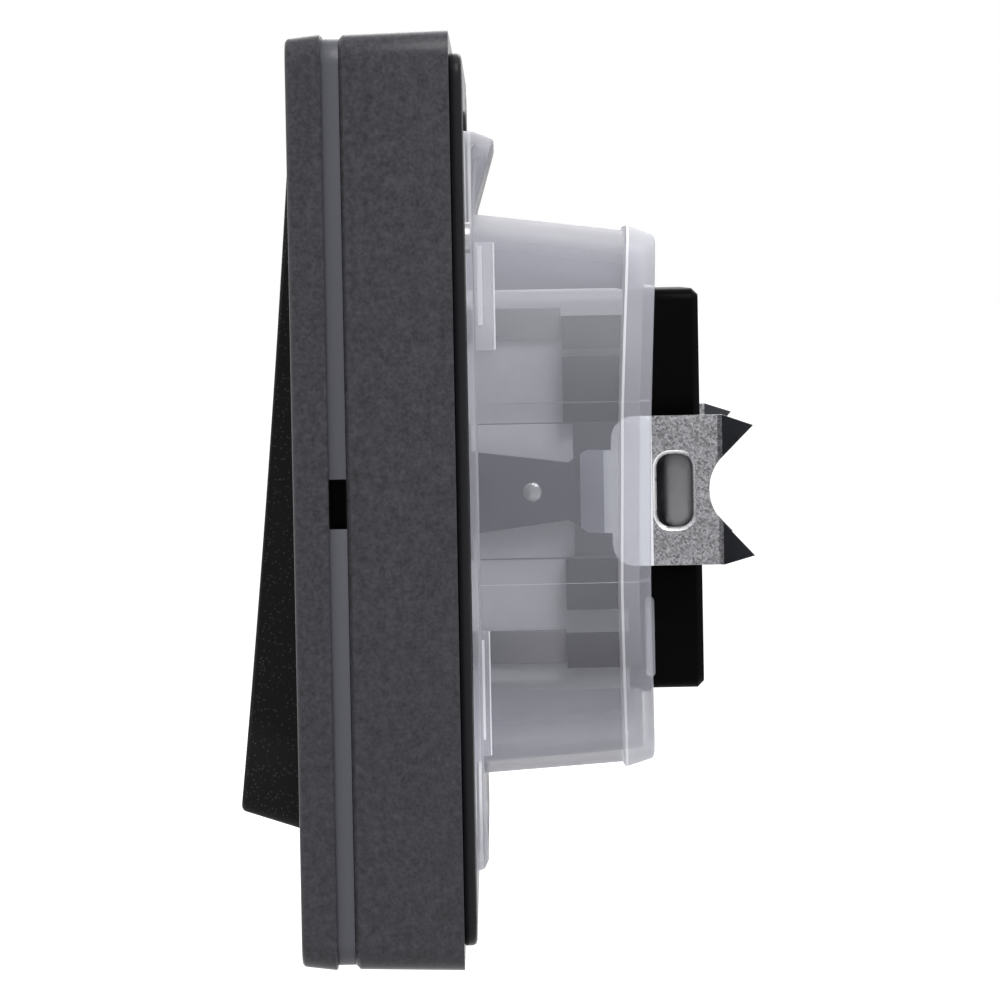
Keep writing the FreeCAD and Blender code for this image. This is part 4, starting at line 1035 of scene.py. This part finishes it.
def make_floor():
    nothing_selected()
    bpy.ops.mesh.primitive_plane_add(size=FLOOR_SIDE, location=(0.0, 0.0, CAD_BOX[0][2] - FLOOR_DROP))
    floor = bpy.context.object
    floor.name = "studio_floor"
    material, tree, shader = start_material("studio_floor")
    set_inputs(shader, {
        "Base Color": (0.45, 0.45, 0.45, 1.0), "Roughness": 0.9, "Emission Color": (1.0, 1.0, 1.0, 1.0),
    })
    lift = calc(tree, "MULTIPLY", ray_is_seen(tree), 0.86)
    tree.links.new(lift, shader.inputs["Emission Strength"])
    floor.data.materials.append(material)


def make_world():
    """Even studio light, and plain white where the world itself is seen."""
    world = bpy.data.worlds.new("studio")
    bpy.context.scene.world = world
    world.use_nodes = True
    tree = world.node_tree
    tree.nodes.clear()
    light = tree.nodes.new("ShaderNodeBackground")
    set_inputs(light, {"Color": (0.96, 0.97, 1.0, 1.0), "Strength": 0.45})
    white = tree.nodes.new("ShaderNodeBackground")
    set_inputs(white, {"Color": (1.0, 1.0, 1.0, 1.0)})
    mix = tree.nodes.new("ShaderNodeMixShader")
    tree.links.new(ray_is_seen(tree), mix.inputs[0])
    tree.links.new(light.outputs[0], mix.inputs[1])
    tree.links.new(white.outputs[0], mix.inputs[2])
    leave = tree.nodes.new("ShaderNodeOutputWorld")
    tree.links.new(mix.outputs[0], leave.inputs["Surface"])


def make_lamp(name, place, size, watts):
    """Soft square lamp that faces the switch; its place and size are in metres."""
    data = bpy.data.lights.new(name, "AREA")
    data.shape = "SQUARE"
    data.size = size
    data.energy = watts
    where = Vector(place)
    aim = (-where).to_track_quat("-Z", "Y")
    linked(name, data).matrix_world = Matrix.Translation(where) @ aim.to_matrix().to_4x4()


def make_lights():
    make_lamp("key_right_above", (0.26, 0.16, 0.36), 0.25, 1.6)
    make_lamp("front_fill", (0.3, -1.1, 0.35), 0.8, 3.0)
    make_lamp("far_fill", (-0.9, 0.2, 0.6), 0.7, 4.0)


def make_camera():
    data = bpy.data.cameras.new("side_view")
    data.lens = LENS
    data.sensor_width = SENSOR
    data.clip_start = 10.0 * MM
    camera = linked("side_view", data)
    away = Vector((math.cos(VIEW_HEIGHT), 0.0, math.sin(VIEW_HEIGHT)))
    aim = (-away).to_track_quat("-Z", "Y").to_matrix().to_4x4()
    place = Matrix.Translation(VIEW_MIDDLE + away * VIEW_DISTANCE)
    camera.matrix_world = place @ aim @ Matrix.Rotation(VIEW_ROLL, 4, "Z")
    bpy.context.scene.camera = camera


def dress_nodes():
    """Gives each carried-over node the finish of its own slot."""
    for node, slot_name in SLOT_OF.items():
        mesh = NODES[node].data
        mesh.materials.clear()
        mesh.materials.append(FINISHES[slot_name])


bpy.context.scene.view_settings.view_transform = "Standard"
make_camera()
dress_nodes()
make_front_frame()
make_pry_pockets()
make_wall_gasket()
make_rocker_cap()
make_toggle_coil()
make_flange()
make_collar_walls()
make_collar_details()
make_insert_flanks()
make_claws()
make_claw_screws()
for part, edge in (
    ("back_frame", 0.15), ("frame_seal", 0.1), ("rear_cover", 0.15), ("switch_base", 0.12),
    ("support_ring", 0.1), ("insert_cover", 0.15), ("frame_screws", 0.1), ("release_lever_upper", 0.12),
    ("release_lever_common", 0.12), ("release_lever_lower", 0.12),
):
    softened(part, edge)
for part in ("claw_wedge_left", "claw_wedge_right"):
    softened(part, 0.15, finish=WEDGE_STEEL)
make_floor()
make_world()
make_lights()
